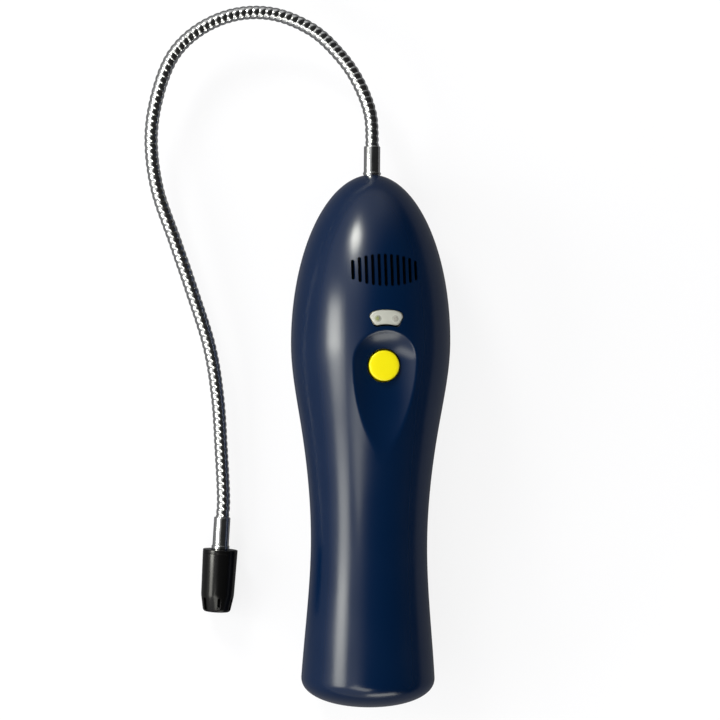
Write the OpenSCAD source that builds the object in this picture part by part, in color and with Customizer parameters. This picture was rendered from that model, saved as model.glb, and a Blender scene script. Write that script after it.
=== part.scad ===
// Handheld refrigerant leak detector: a waisted two-part housing built around four cells,
// a thumb button in a scoop, an indicator window, a sounder grille and a bendable probe.
// It lies on its back. +Z points out of the front, +Y towards the nose, and the origin is on
// the flat back, under the widest ring of the head.

/* [Housing] */
// Widest diameter of the head
head_d = 61.4; // [58:0.2:66]
// Length of the rounded nose ahead of the widest ring
nose_l = 64.5; // [60:0.5:72]
// Diameter of the shoulder between head and grip
shoulder_d = 53.6; // [51:0.2:56]
// Distance from the widest ring back to the shoulder
shoulder_at = 31; // [28:0.5:34]
// Distance from the widest ring back to the waist
waist_at = 77.5; // [74:0.5:84]
// Diameter of the flared base
base_d = 51.4; // [49:0.2:55]
// Length of the rounded end behind the flare
end_l = 10.8; // [9:0.2:13]
// Wall thickness of the mouldings
wall = 2.4; // [2:0.1:2.8]
// Clearance between parts that fit together
fit = 0.15; // [0.1:0.05:0.25]
// Height of the lip that lines up the two shells
lip_h = 1.4; // [1:0.1:2]
// Thickness of that lip
lip_t = 1.1; // [0.8:0.1:1.4]

/* [Scoop and button] */
// Width of the thumb scoop
scoop_w = 24.2; // [21:0.2:25]
// Depth of the scoop where it is widest
scoop_depth = 5.4; // [4.6:0.1:6]
// Distance of the scoop's widest line behind the widest ring
scoop_at = 7.1; // [6:0.1:9]
// Length of the scoop's round front end
scoop_front_l = 11.5; // [11:0.1:12]
// Length of the scoop's tapering tail
scoop_tail_l = 35.5; // [32:0.5:40]
// Diameter of the button
button_d = 11.4; // [10:0.1:13]
// Gap round the button in its hole
button_gap = 0.7; // [0.4:0.05:0.9]
// Distance of the button's centre behind the widest ring
button_at = 8.9; // [8:0.1:10]
// Height of the button's rim above the scoop floor
button_rise = 1.3; // [1.1:0.1:2]
// Height of the button's crown above its rim
button_crown = 0.7; // [0.4:0.1:1]
// Travel of the button
button_travel = 1; // [0.6:0.1:1.2]
// Height of the switch under the button
switch_h = 3.5; // [3:0.1:4.5]

/* [Window and grille] */
// Width of the indicator window
window_w = 13.2; // [11:0.2:15]
// Width of the window's lower edge
window_low_w = 9.2; // [7:0.2:10]
// Length of the window along the body
window_l = 7; // [5.8:0.1:7.4]
// Distance of the window's centre ahead of the widest ring
window_at = 8.6; // [8.4:0.1:10]
// Diameter of an indicator lamp
led_d = 3; // [2.6:0.1:3.4]
// Distance between the two lamps
led_spread = 6.6; // [5:0.2:7]
// Number of slots in the grille
slot_count = 11; // [7:2:13]
// Spacing of the slots
slot_pitch = 2.4; // [2:0.05:2.5]
// Width of a slot
slot_w = 1.3; // [0.9:0.05:1.5]
// Width of the oval that the slots fill
grille_w = 30.4; // [28:0.2:32]
// Length of that oval along the body
grille_l = 12.2; // [9:0.2:14]
// Distance of the grille's centre ahead of the widest ring
grille_at = 26.8; // [25:0.2:28]
// Diameter of the sounder behind the grille
sounder_d = 20; // [16:0.5:21]
// Height of the sounder
sounder_h = 5.5; // [4:0.1:6]

/* [Cells and battery door] */
// Diameter of a cell
cell_d = 14.5; // [13.5:0.1:15]
// Length of a cell with its nub
cell_l = 50.5; // [48:0.1:52]
// Gap between the two rows of cells
cell_gap = 0.3; // [0.2:0.1:0.8]
// Height of the cells above the inside of the back wall
cell_lift = 1.55; // [1.4:0.05:2]
// Room between the cells and the grip's inner wall
grip_room = 0.5; // [0.4:0.05:1]
// Length of a contact spring when a cell presses it
spring_l = 6; // [5:0.1:8]
// Thickness of a contact plate
contact_t = 0.5; // [0.3:0.05:0.8]
// Distance of the battery bay's front end behind the widest ring
bay_at = 16; // [14:0.5:20]
// Thickness of the bay's own walls
bay_wall = 1.2; // [1:0.1:1.6]
// Thickness of the battery door
door_t = 1.2; // [1:0.05:1.3]
// Width of the ledge that the door lies on
ledge_w = 1.6; // [1.2:0.1:2]
// Gap round the edge of the door
door_gap = 0.35; // [0.3:0.05:0.5]

/* [Board and screws] */
// Width of the circuit board
board_w = 28; // [26:0.5:29]
// Length of the circuit board
board_l = 75; // [72:0.5:77]
// Distance of the board's front edge ahead of the widest ring
board_at = 40; // [39:0.5:41]
// Thickness of the circuit board
board_t = 1.6; // [1.2:0.1:2]
// Diameter of a housing screw's shank
screw_d = 3; // [2.6:0.1:3.2]
// Length of a housing screw under its head
screw_l = 16; // [14:0.5:20]
// Depth of a housing screw's seat below the back
screw_seat = 12; // [10:0.5:13]
// Distance of the head screws from the middle plane
head_screw_x = 18.5; // [18.3:0.1:19]
// Distance of the base screws from the middle plane
base_screw_x = 10; // [9:0.2:11]
// Diameter of a board screw's shank
board_screw_d = 2; // [1.8:0.1:2.4]

/* [Probe] */
// Outer diameter of the bendable neck
neck_d = 5.2; // [4.6:0.1:5.6]
// Depth of the groove between two turns of the neck
neck_groove = 0.35; // [0.2:0.05:0.6]
// Distance from one turn of the neck to the next
neck_pitch = 2.5; // [2.2:0.1:3]
// Reach of the neck's loop to the left of the nose
loop_w = 84.5; // [80:0.5:90]
// Reach of the loop ahead of the neck's seat
loop_l = 58.5; // [54:0.5:64]
// Reach of the neck's end behind its seat
loop_back = 143.5; // [134:0.5:150]
// Diameter of the two metal ferrules
ferrule_d = 6.3; // [6.2:0.1:7]
// Length of the nose ferrule outside the housing
ferrule_l = 10.9; // [8:0.1:12]
// Length of the tip ferrule outside the socket
tip_ferrule_l = 12.4; // [10:0.1:14]
// Depth to which the neck sits in each ferrule
neck_seat = 8.7; // [6:0.1:9]
// Diameter of the tip guard at its collar
guard_d = 13.4; // [12.8:0.1:14.5]
// Diameter where the guard's nose starts
guard_front_d = 12.7; // [12.4:0.1:13.4]
// Diameter at the end of the guard's nose
guard_end_d = 10.4; // [10:0.1:11]
// Length of the tip guard
guard_l = 22.5; // [21:0.5:26]
// Length of the guard's slotted nose
guard_nose_l = 6.4; // [5:0.1:7]
// Wall thickness of the guard
guard_wall = 1.3; // [1:0.05:1.5]
// Diameter of the sensor element
sensor_d = 7.5; // [6.5:0.1:7.8]
// Length of the sensor element
sensor_l = 9; // [8:0.1:10]

/* [Hidden] */

$fn = 48;
navy = "#14274d";
steel = "#c9ccd0";
black = "#151516";
cut = 1; // how far a cutting tool runs past the face it opens
far = 300; // size of a block that stands for half of space

// Cells, from which the grip takes its depth and its waist
cell_r = cell_d / 2;
cell_x = cell_r + cell_gap / 2;
cell_z = wall + cell_lift + cell_r;
nub_l = 1.3;
nub_d = 5.5;
bay_roof = cell_z + cell_r + 0.35;
axis_h = bay_roof + bay_wall + 1;
bay_l = 2 * cell_l + spring_l + 2 * contact_t;
bay_front = -bay_at;
bay_back = bay_front - bay_l;
bay_half = cell_x + cell_r + 0.5;

// Outline of the housing: radius of the revolved form along its axis
head_r = head_d / 2;
shoulder_r = shoulder_d / 2;
waist_r = norm([cell_x, axis_h - cell_z]) + cell_r + wall + grip_room;
base_r = base_d / 2;
base_at = 5 - bay_back;
end_power = 2.2; // fullness of the rounded end, where 2 is an ellipse
shoulder_slope = -1.6 * (head_r - waist_r) / waist_at;
base_slope = (base_r - waist_r) / (base_at - waist_at);
nose_steps = 15;
barrel_steps = 24;
end_steps = 7;

// A cubic between two radii with given slopes at its ends
function cubic(a, b, slope_a, slope_b, span, t) =
    a * (2 * pow(t, 3) - 3 * t * t + 1) + b * (3 * t * t - 2 * pow(t, 3))
    + span * (slope_a * (pow(t, 3) - 2 * t * t + t) + slope_b * (pow(t, 3) - t * t));

// Radius at a distance behind the widest ring, as far as the flare
function barrel_r(v) =
    v < shoulder_at ? cubic(head_r, shoulder_r, 0, shoulder_slope, shoulder_at, v / shoulder_at)
    : v < waist_at ? cubic(shoulder_r, waist_r, shoulder_slope, 0, waist_at - shoulder_at,
        (v - shoulder_at) / (waist_at - shoulder_at))
    : cubic(waist_r, base_r, 0, base_slope, base_at - waist_at, (v - waist_at) / (base_at - waist_at));

// Radius of the outside at a place along the axis, as far back as the flare
function body_r(y) = y > 0 ? head_r * sqrt(1 - pow(y / nose_l, 2)) : barrel_r(-y);

// Outline of the housing, moved inwards by inset
function form_points(inset) = [
    for (i = [nose_steps:-1:0])
        let (a = 90 * i / nose_steps)
        [(head_r - inset) * cos(a), (nose_l - inset) * sin(a)],
    for (i = [1:barrel_steps])
        let (v = base_at * i / barrel_steps)
        [barrel_r(v) - inset, -v],
    for (i = [1:end_steps])
        let (a = 90 * i / end_steps)
        [(base_r - inset) * pow(cos(a), 2 / end_power),
         -base_at - (end_l - inset) * pow(sin(a), 2 / end_power)]
];

// Thumb scoop: a revolve about a line above the front, with a given half width along its length
scoop_y = -scoop_at;
scoop_half_w = scoop_w / 2;
scoop_ring_r = body_r(scoop_y);
scoop_floor_r = scoop_ring_r - scoop_depth;
scoop_lift = (pow(scoop_ring_r, 2) - pow(scoop_floor_r, 2))
    / (2 * (sqrt(pow(scoop_ring_r, 2) - pow(scoop_half_w, 2)) - scoop_floor_r));
scoop_front_steps = 8;
scoop_tail_steps = 14;
tail_power = 0.8; // how fast the tail narrows
skim = 0.3; // how far the scoop's ends stand off the surface that they run out on

function scoop_half(y) = y > scoop_y
    ? scoop_half_w * sqrt(max(0, 1 - pow((y - scoop_y) / scoop_front_l, 2)))
    : scoop_half_w * pow(max(0, 1 - pow((scoop_y - y) / scoop_tail_l, 2)), tail_power);
function scoop_r(y) =
    norm([scoop_half(y), scoop_lift - sqrt(pow(body_r(y), 2) - pow(scoop_half(y), 2))]);
function scoop_points(grow) = let (
        back = scoop_y - scoop_tail_l,
        front = scoop_y + scoop_front_l)
    [
        [0, back - grow],
        [scoop_r(back) + grow - skim, back - grow],
        for (i = [1:scoop_tail_steps - 1])
            let (y = back + scoop_tail_l * i / scoop_tail_steps)
            [scoop_r(y) + grow, y],
        for (i = [0:scoop_front_steps - 1])
            let (y = scoop_y + scoop_front_l * sin(90 * i / scoop_front_steps))
            [scoop_r(y) + grow, y],
        [scoop_r(front) + grow - skim, front + grow],
        [0, front + grow]
    ];

// Button, switch and board, stacked down from the scoop floor
button_y = -button_at;
button_r = button_d / 2;
button_hold = 0.7; // how far the flange reaches under the edge of the hole
button_flange_r = button_r + button_gap + button_hold;
button_flange_t = 1.2;
scoop_floor_z = axis_h + scoop_lift - scoop_r(button_y);
scoop_deepest_r = max([for (k = [-1:0.25:1]) scoop_r(button_y + k * button_flange_r)]);
button_flange_z = axis_h + scoop_lift - scoop_deepest_r - wall - 0.2;
button_stem_r = 2.1;
plunger_top = button_flange_z - button_flange_t - 0.8;
plunger_r = 1.75;
switch_top = plunger_top - button_travel - 0.3;
switch_w = 6.2;
board_top = switch_top - switch_h;
board_under = board_top - board_t;

// Window and lamps
lens_flange_t = 1;
lens_flange_w = 0.9;
led_h = 5.5;
led_flange_r = led_d / 2 + 0.4;
led_top = axis_h + body_r(window_at) - wall - lens_flange_t - 0.6;
led_base = led_top - led_h;
window_arc = 2.9; // how far the window's round front edge bows forward
window_hollow = 0.7; // how far its back edge bows in
window_steps = 8;

// Edge of the window, moved outwards by grow: a round front, a bowed back and two slanted sides
function window_points(grow) = let (
        wide = window_w / 2 + grow,
        low = window_low_w / 2 + grow,
        front = window_at + window_l / 2 + grow,
        back = window_at - window_l / 2 - grow)
    [
        for (i = [-window_steps:window_steps])
            let (a = 90 * i / window_steps)
            [wide * sin(a), front - window_arc * (1 - cos(a))],
        for (i = [window_steps:-1:-window_steps])
            let (t = i / window_steps)
            [low * t, back + window_hollow * (1 - t * t)]
    ];

// Screws and the posts that they go into
screw_head_r = screw_d * 0.9;
screw_head_h = 2;
rear_post_r = screw_head_r + 1.5;
front_post_r = screw_d / 2 + 1.7;
screw_places = [
    for (side = [-1, 1])
        each [[side * head_screw_x, 2], [side * base_screw_x, bay_back - bay_wall - rear_post_r - 1.1]]
];
board_front = board_at;
board_back = board_at - board_l;
board_post_r = board_screw_d / 2 + 1.5;
board_screw_l = 5;
board_screw_head_h = 1.3;
board_screw_head_r = board_screw_d * 0.95;
board_screw_places = [
    for (side = [-1, 1])
        each [[side * (board_w / 2 - 2.8), board_front - 3.6], [side * (board_w / 2 - 2.8), board_back + 4]]
];

// Battery door
door_half = bay_half + ledge_w + door_gap;
door_front = bay_front - 8;
door_back = bay_back + 5;
door_corner = 4;
door_column_h = axis_h - 3;
tongue_w = 6;
tongue_l = 2.5;
tongue_t = 1.2;
latch_w = 6;
latch_h = 1.8;

// Nose: the ferrule's bushing in the two shells
ferrule_r = ferrule_d / 2;
bushing_r = 7.5;
bushing_l = 17.5;
bushing_back = nose_l - bushing_l;
ferrule_tail_l = 1;
ferrule_back = bushing_back - ferrule_tail_l;
ferrule_flange_w = 1.85;
ferrule_flange_r = ferrule_r + ferrule_flange_w;
ferrule_flange_t = 2;
ferrule_flange_at = 12.4;
ferrule_flange_y = nose_l - ferrule_flange_at;
ferrule_lip_w = 0.3;
ferrule_lip_r = ferrule_r + ferrule_lip_w;
ferrule_lip_t = 0.8;
wire_bore_r = 1.7;
seat_gap = 0.05;
neck_r = neck_d / 2;
neck_bore_r = neck_r + 0.1;
ferrule_end = nose_l + ferrule_l;
neck_root_y = ferrule_end - neck_seat;

// Tip of the probe, measured along its own axis from the end of the neck's free length
guard_r = guard_d / 2;
socket_r = guard_r - guard_wall - 0.1;
socket_collar_l = 1.6;
socket_l = 9;
spigot_r = neck_bore_r - 0.1;
spigot_l = 5;
sensor_r = sensor_d / 2;
sensor_seat = 4;
collar_at = tip_ferrule_l;
guard_at = collar_at + socket_collar_l;
socket_end = guard_at + socket_l;
sensor_at = socket_end - sensor_seat;
guard_nose_at = guard_at + guard_l - guard_nose_l;
guard_end = guard_at + guard_l;
guard_front_r = guard_front_d / 2;
guard_end_r = guard_end_d / 2;
guard_mouth_r = guard_end_r - 1.7;
guard_edge = 0.8;
guard_lip_l = 1.2;
guard_nose_wall = 1.1;
guard_slots = 6;
tip_h = guard_r + 0.25;

// Route of the neck in plan, from its seat in the nose: a loop to the left and back beside the grip.
// Its shape is in parts of the loop's three reaches
function loop_shape() = [[0, 0], [0, 0.1709], [-0.0116, 0.3747], [-0.0718, 0.5855], [-0.1587, 0.7552],
    [-0.2788, 0.9056], [-0.4503, 1], [-0.6272, 0.9915], [-0.791, 0.8848], [-0.9093, 0.7077],
    [-0.9763, 0.4444], [-1, 0.1624], [-0.969, -0.0633], [-0.8844, -0.2014], [-0.8064, -0.3291],
    [-0.7208, -0.4808], [-0.6791, -0.6202], [-0.6602, -0.7596], [-0.6473, -0.888], [-0.6525, -0.944],
    [-0.6577, -1]];
neck_route = [for (p = loop_shape()) [p[0] * loop_w, p[1] * (p[1] > 0 ? loop_l : loop_back)]];
neck_parts = 7;
neck_sides = 10;
route_steps = 8;

// A smooth curve through four points, between the middle two
function curve(a, b, c, d, t) =
    0.5 * (2 * b + (c - a) * t + (2 * a - 5 * b + 4 * c - d) * t * t + (3 * b - a - 3 * c + d) * pow(t, 3));
route_last = len(neck_route) - 1;
route_plan = [
    for (i = [0:route_last - 1], k = [0:route_steps - 1])
        curve(neck_route[max(i - 1, 0)], neck_route[i], neck_route[i + 1],
            neck_route[min(i + 2, route_last)], k / route_steps),
    neck_route[route_last]
];
route_run = [
    for (i = 0, s = 0; i < len(route_plan);
        s = s + norm(route_plan[min(i + 1, len(route_plan) - 1)] - route_plan[i]), i = i + 1) s
];
neck_l = route_run[len(route_run) - 1];
route_x = [for (i = [0:len(route_plan) - 1]) [route_run[i], route_plan[i][0]]];
route_y = [for (i = [0:len(route_plan) - 1]) [route_run[i], neck_root_y + route_plan[i][1]]];
function ease(t) = t * t * (3 - 2 * t);
function neck_point(s) =
    [lookup(s, route_x), lookup(s, route_y), axis_h + (tip_h - axis_h) * ease(s / neck_l)];
tip_way = neck_route[route_last] - neck_route[route_last - 1];
tip_turn = atan2(tip_way[0], -tip_way[1]);
tip_start = neck_route[route_last] + [0, neck_root_y] - neck_seat * tip_way / norm(tip_way);

// Half of the gap between two lengths of the neck, and the slope of their tapered ends
link_gap = 0.2;
link_taper = 2.4;

// Solids that several parts share

// The housing's outside form with its flat back, moved inwards by inset
module body_form(inset) {
    intersection() {
        translate([0, 0, axis_h]) rotate([-90, 0, 0]) rotate([0, 0, 90])
            rotate_extrude() polygon(form_points(inset));
        translate([-far / 2, -far, inset]) cube([far, 2 * far, far]);
    }
}

module above(z) {
    translate([-far / 2, -far, z]) cube([far, 2 * far, far]);
}

module below(z) {
    translate([-far / 2, -far, z - far]) cube([far, 2 * far, far]);
}

// The thumb scoop's own form, grown by a wall where the shell has to follow it
module scoop_form(grow) {
    translate([0, 0, axis_h + scoop_lift]) rotate([-90, 0, 0]) rotate([0, 0, -90])
        rotate_extrude() polygon(scoop_points(grow));
}

// A cylinder along +Y from one place to another, on the body's axis
module axial(r, from, to) {
    translate([0, from, axis_h]) rotate([-90, 0, 0]) cylinder(r = r, h = to - from);
}

// An upright post or hole
module post(place, r, from, to) {
    translate([place[0], place[1], from]) cylinder(r = r, h = to - from);
}

// A block given by its two corners
module block(low, high) {
    translate(low) cube(high - low);
}

// Bushing in the nose that holds the ferrule, and the space that the ferrule takes up there
module nose_bushing() {
    axial(bushing_r, bushing_back, nose_l);
}

module ferrule_space() {
    axial(ferrule_r + fit, bushing_back - cut, nose_l + cut);
    axial(ferrule_flange_r + fit, ferrule_flange_y - fit, ferrule_flange_y + ferrule_flange_t + fit);
}

// A round-cornered column under the battery door, moved outwards by grow
function door_points(grow) = let (r = door_corner + grow) [
    for (corner = [[1, 1, 0], [-1, 1, 90], [-1, -1, 180], [1, -1, 270]], i = [0:4])
        let (
            a = corner[2] + 90 * i / 4,
            x = corner[0] * (door_half - door_corner),
            y = corner[1] > 0 ? door_front - door_corner : door_back + door_corner)
        [x + r * cos(a), y + r * sin(a)]
];

module door_column(grow) {
    translate([0, 0, -cut]) linear_extrude(door_column_h) polygon(door_points(grow));
}

// A tube swept along points with a radius at each, closed at both ends
module sweep(points, radii, across, sides) {
    n = len(points);
    rings = [
        for (i = [0:n - 1])
            let (
                along = points[min(i + 1, n - 1)] - points[max(i - 1, 0)],
                u = cross(along, across) / norm(cross(along, across)),
                v = cross(u, along) / norm(along))
            for (k = [0:sides - 1])
                points[i] + radii[i] * (cos(360 * k / sides) * u + sin(360 * k / sides) * v)
    ];
    walls = [
        for (i = [0:n - 2], k = [0:sides - 1])
            let (a = i * sides + k, b = i * sides + (k + 1) % sides)
            each [[a, b + sides, b], [a, a + sides, b + sides]]
    ];
    start = [for (k = [1:sides - 2]) [0, k, k + 1]];
    finish = [for (k = [1:sides - 2]) (n - 1) * sides * [1, 1, 1] + [0, k + 1, k]];
    polyhedron(rings, concat(start, walls, finish));
}

// Housing

module front_shell() {
    color(navy) difference() {
        union() {
            intersection() {
                difference() {
                    body_form(0);
                    body_form(wall);
                }
                above(axis_h);
            }
            intersection() {
                scoop_form(wall);
                body_form(0);
            }
            intersection() {
                body_form(wall / 2);
                above(axis_h);
                union() {
                    nose_bushing();
                    for (p = screw_places) post(p, front_post_r, axis_h, axis_h + head_r);
                    for (p = board_screw_places) post(p, board_post_r, board_top, axis_h + head_r);
                }
            }
        }
        scoop_form(0);
        ferrule_space();
        post([0, button_y], button_r + button_gap, board_top, scoop_floor_z + far / 10);
        grille_slots();
        translate([0, 0, led_base]) linear_extrude(head_r) polygon(window_points(fit));
        for (p = screw_places) post(p, screw_d / 2 + 0.05, axis_h - cut, screw_seat + screw_l + cut);
        for (p = board_screw_places)
            post(p, board_screw_d / 2 + 0.05, board_top - cut, board_under + board_screw_l + 0.5);
    }
}

// Upright slots side by side, their lengths following an oval
module grille_slots() {
    low = axis_h + head_r / 2;
    for (i = [0:slot_count - 1]) {
        x = (i - (slot_count - 1) / 2) * slot_pitch;
        half = grille_l / 2 * sqrt(1 - pow(2 * x / grille_w, 2)) - slot_w / 2;
        block([x - slot_w / 2, grille_at - half, low], [x + slot_w / 2, grille_at + half, axis_h + head_r]);
        for (end = [-1, 1]) post([x, grille_at + end * half], slot_w / 2, low, axis_h + head_r);
    }
}

module rear_shell() {
    color(navy) difference() {
        union() {
            intersection() {
                difference() {
                    body_form(0);
                    body_form(wall);
                }
                below(axis_h);
            }
            shell_lip();
            intersection() {
                body_form(wall / 2);
                below(axis_h);
                union() {
                    nose_bushing();
                    block([-bay_half - bay_wall, bay_back - bay_wall, 0],
                        [bay_half + bay_wall, bay_front + bay_wall, bay_roof + bay_wall]);
                    for (p = screw_places) post(p, rear_post_r, 0, axis_h);
                }
            }
        }
        intersection() {
            block([-bay_half, bay_back, 0], [bay_half, bay_front, bay_roof]);
            body_form(wall);
        }
        difference() {
            door_column(door_gap);
            body_form(door_t + 0.1);
        }
        door_column(-ledge_w);
        block([-tongue_w / 2 - 0.4, door_back - door_gap - cut, door_t],
            [tongue_w / 2 + 0.4, door_back + ledge_w + cut, wall + cut / 2]);
        ferrule_space();
        for (p = screw_places) {
            post(p, screw_head_r + 0.3, -cut, screw_seat);
            post(p, screw_d / 2 + 0.1, screw_seat - cut, axis_h + cut);
        }
        for (side = [-1, 1])
            block([side * cell_x - 2, bay_front - contact_t - 0.2, bay_roof - cut],
                [side * cell_x + 2, bay_front, axis_h]);
    }
}

// Lip inside the parting line, which the front shell slides over
module shell_lip() {
    intersection() {
        union() {
            intersection() {
                body_form(wall - 0.3);
                block([-far, bay_back, axis_h - 2.5], [far, bushing_back - 3, axis_h]);
            }
            intersection() {
                body_form(wall + fit);
                block([-far, bay_back, axis_h - 1], [far, bushing_back - 3, axis_h + lip_h]);
            }
        }
        difference() {
            above(axis_h - 2.5);
            body_form(wall + lip_t);
        }
    }
}

module battery_door() {
    rib_top = cell_z - cell_r - 0.3;
    color(navy) difference() {
        union() {
            intersection() {
                door_column(0);
                difference() {
                    body_form(0);
                    body_form(door_t);
                }
            }
            intersection() {
                body_form(door_t / 2);
                union() {
                    for (part = [0.3, 0.7])
                        let (y = door_back + part * (door_front - door_back))
                        block([-bay_half + 3, y - 0.6, 0], [bay_half - 3, y + 0.6, rib_top]);
                    block([-latch_w / 2, door_front - ledge_w - 1.4, 0],
                        [latch_w / 2, door_front - ledge_w - 0.2, wall + latch_h]);
                    block([-tongue_w / 2, door_back, 0],
                        [tongue_w / 2, door_back + ledge_w + 0.6, wall + 0.2 + tongue_t]);
                    block([-tongue_w / 2, door_back - tongue_l, wall + 0.2],
                        [tongue_w / 2, door_back + ledge_w, wall + 0.2 + tongue_t]);
                }
            }
        }
        for (i = [0:4])
            translate([0, door_front - 8 - 2 * i, -0.35]) rotate([0, 90, 0])
                cylinder(r = 0.75, h = 14, center = true);
    }
}

module housing_screws() {
    color(steel) for (p = screw_places) {
        difference() {
            post(p, screw_head_r, screw_seat - screw_head_h, screw_seat);
            for (turn = [0, 90])
                translate([p[0], p[1], screw_seat - screw_head_h]) rotate([0, 0, turn])
                    cube([screw_head_r, 0.7, screw_head_h], center = true);
        }
        post(p, screw_d / 2, screw_seat, screw_seat + screw_l);
    }
}

// Indicator window and lamps

module indicator_window() {
    color("#d8dde0") union() {
        intersection() {
            translate([0, 0, led_base]) linear_extrude(head_r) polygon(window_points(0));
            body_form(0.15);
            difference() {
                above(led_base);
                body_form(wall + lens_flange_t);
            }
        }
        difference() {
            intersection() {
                translate([0, 0, led_base]) linear_extrude(head_r) polygon(window_points(lens_flange_w));
                body_form(wall + 0.05);
            }
            body_form(wall + lens_flange_t);
            scoop_form(wall + fit);
        }
    }
}

module led(x) {
    r = led_d / 2;
    translate([x, window_at, led_base]) rotate_extrude() polygon([
        [0, 0], [led_flange_r, 0], [led_flange_r, 0.8], [r, 0.8],
        for (i = [0:5]) [r * cos(18 * i), led_h - r + r * sin(18 * i)]
    ]);
}

module status_led() {
    color("#cfe08a") led(-led_spread / 2);
}

module alarm_led() {
    color("#e8d6cf") led(led_spread / 2);
}

module led_spacer() {
    w = led_spread + 2 * led_flange_r + 0.6;
    l = 2 * led_flange_r + 0.6;
    color("#e9e9e4") block([-w / 2, window_at - l / 2, board_top], [w / 2, window_at + l / 2, led_base]);
}

// Button and switch

module button_cap() {
    rim = scoop_floor_z + button_rise;
    under = button_flange_z - button_flange_t;
    color("#f2e41a") translate([0, button_y, 0]) rotate_extrude() polygon([
        [0, plunger_top], [button_stem_r, plunger_top], [button_stem_r, under], [button_flange_r, under],
        [button_flange_r, button_flange_z], [button_r, button_flange_z],
        for (i = [0:8])
            let (a = 90 * i / 8)
            [button_r * pow(cos(a), 0.7), rim + button_crown * pow(sin(a), 0.7)]
    ]);
}

module switch_plunger() {
    color("#2b2b2d") post([0, button_y], plunger_r, board_top + button_travel + 0.7, plunger_top);
}

module switch_body() {
    half = switch_w / 2;
    color("#39393c") difference() {
        block([-half, button_y - half, board_top], [half, button_y + half, switch_top]);
        post([0, button_y], plunger_r + 0.1, board_top + 0.5, switch_top + cut);
    }
}

// Circuit board and what it carries

module main_board() {
    color("#1f6b3a") difference() {
        intersection() {
            block([-board_w / 2, board_back, board_under], [board_w / 2, board_front, board_top]);
            body_form(wall + 0.4);
        }
        for (p = board_screw_places)
            post(p, board_screw_d / 2 + 0.15, board_under - cut, board_top + cut);
    }
}

module board_screws() {
    color(steel) for (p = board_screw_places) {
        post(p, board_screw_head_r, board_under - board_screw_head_h, board_under);
        post(p, board_screw_d / 2, board_under, board_under + board_screw_l);
    }
}

module sounder() {
    color("#1b1b1c") difference() {
        post([0, grille_at], sounder_d / 2, board_top, board_top + sounder_h);
        post([0, grille_at], 1.5, board_top + sounder_h - 2, board_top + sounder_h + cut);
    }
}

module control_chip() {
    half = 5;
    pin = 0.3;
    color("#202022") union() {
        block([-half, 2 - half, board_under - 2], [half, 2 + half, board_under - 0.4]);
        for (side = [-1, 1], i = [-3:3])
            block([side * (half + 0.2) - 0.9, 2 + 1.27 * i - pin, board_under - 1],
                [side * (half + 0.2) + 0.9, 2 + 1.27 * i + pin, board_under]);
    }
}

module filter_capacitors() {
    color("#2d3448") for (side = [-1, 1]) post([side * 7, board_back + 9], 3.2, board_under - 8, board_under);
}

connector_y = board_front - 5;
connector_half = 3;
connector_h = 5;
sensor_lead_r = 0.8;
sensor_lead_seat = 3;

module sensor_connector() {
    color("#e6e0cf") block([-4.5, connector_y - connector_half, board_under - connector_h],
        [4.5, connector_y + connector_half, board_under]);
}

// Sensor wires from the connector to the ferrule's bore
module sensor_lead() {
    start = [0, connector_y + connector_half + seat_gap, board_under - connector_h / 2];
    drop = axis_h - start[2];
    room = ferrule_back - start[1];
    points = [start, start + [0, 0.2 * room, 0], start + [0, 0.43 * room, 0.16 * drop],
        start + [0, 0.5 * room, 0.5 * drop], start + [0, 0.6 * room, 0.86 * drop],
        start + [0, 0.85 * room, drop], [0, ferrule_back + sensor_lead_seat, axis_h]];
    color("#2a2a2a") sweep(points, [for (p = points) sensor_lead_r], [1, 0, 0], 8);
}

// Cells, contacts and leads

// One cell with its nub towards +Y or -Y, from back to front along the row
module cell(x, back, turn) {
    can = cell_l - nub_l;
    translate([x, back, cell_z]) rotate([-90, 0, 0]) translate([0, 0, turn > 0 ? 0 : cell_l])
        rotate([turn > 0 ? 0 : 180, 0, 0]) union() {
            cylinder(r = cell_r, h = can);
            cylinder(r = nub_d / 2, h = cell_l);
        }
}

left_back = bay_back + contact_t + spring_l;
right_back = bay_back + contact_t;

module battery_1() {
    color("#b9772f") cell(-cell_x, left_back, 1);
}

module battery_2() {
    color("#b9772f") cell(-cell_x, left_back + cell_l, 1);
}

module battery_3() {
    color("#b9772f") cell(cell_x, right_back + cell_l, -1);
}

module battery_4() {
    color("#b9772f") cell(cell_x, right_back, -1);
}

// A contact plate across one end of the bay
module plate(low_x, high_x, back) {
    half = cell_r - 1.5;
    block([low_x, back, cell_z - half], [high_x, back + contact_t, cell_z + half]);
}

module base_contact() {
    reach = cell_x + cell_r - 1.5;
    color(steel) plate(-reach, reach, bay_back);
}

tab_top = axis_h + 0.5;

module head_contact(x) {
    half = cell_r - 1.5;
    color(steel) union() {
        plate(x - half, x + half, bay_front - contact_t);
        block([x - 1.5, bay_front - contact_t, cell_z], [x + 1.5, bay_front, tab_top]);
    }
}

module head_contact_positive() {
    head_contact(-cell_x);
}

module head_contact_negative() {
    head_contact(cell_x);
}

// A conical wire spring along +Y, its wide end at the plate
module cell_spring(x, plate_y, cell_y) {
    wire = 0.4;
    turns = 4;
    steps = 10 * turns;
    from = plate_y + sign(cell_y - plate_y) * (wire + 0.05);
    to = cell_y - sign(cell_y - plate_y) * (wire + 0.05);
    points = [
        for (i = [0:steps])
            let (t = i / steps, a = 360 * turns * t, r = 5 - 2 * t)
            [x + r * cos(a), from + (to - from) * t, cell_z + r * sin(a)]
    ];
    color(steel) sweep(points, [for (p = points) wire], [0, 1, 0], 6);
}

module battery_spring_left() {
    cell_spring(-cell_x, bay_back + contact_t, left_back);
}

module battery_spring_right() {
    cell_spring(cell_x, bay_front - contact_t, right_back + 2 * cell_l);
}

module battery_lead(x) {
    post([x, bay_front - contact_t / 2], 0.6, tab_top, board_under);
}

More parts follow.
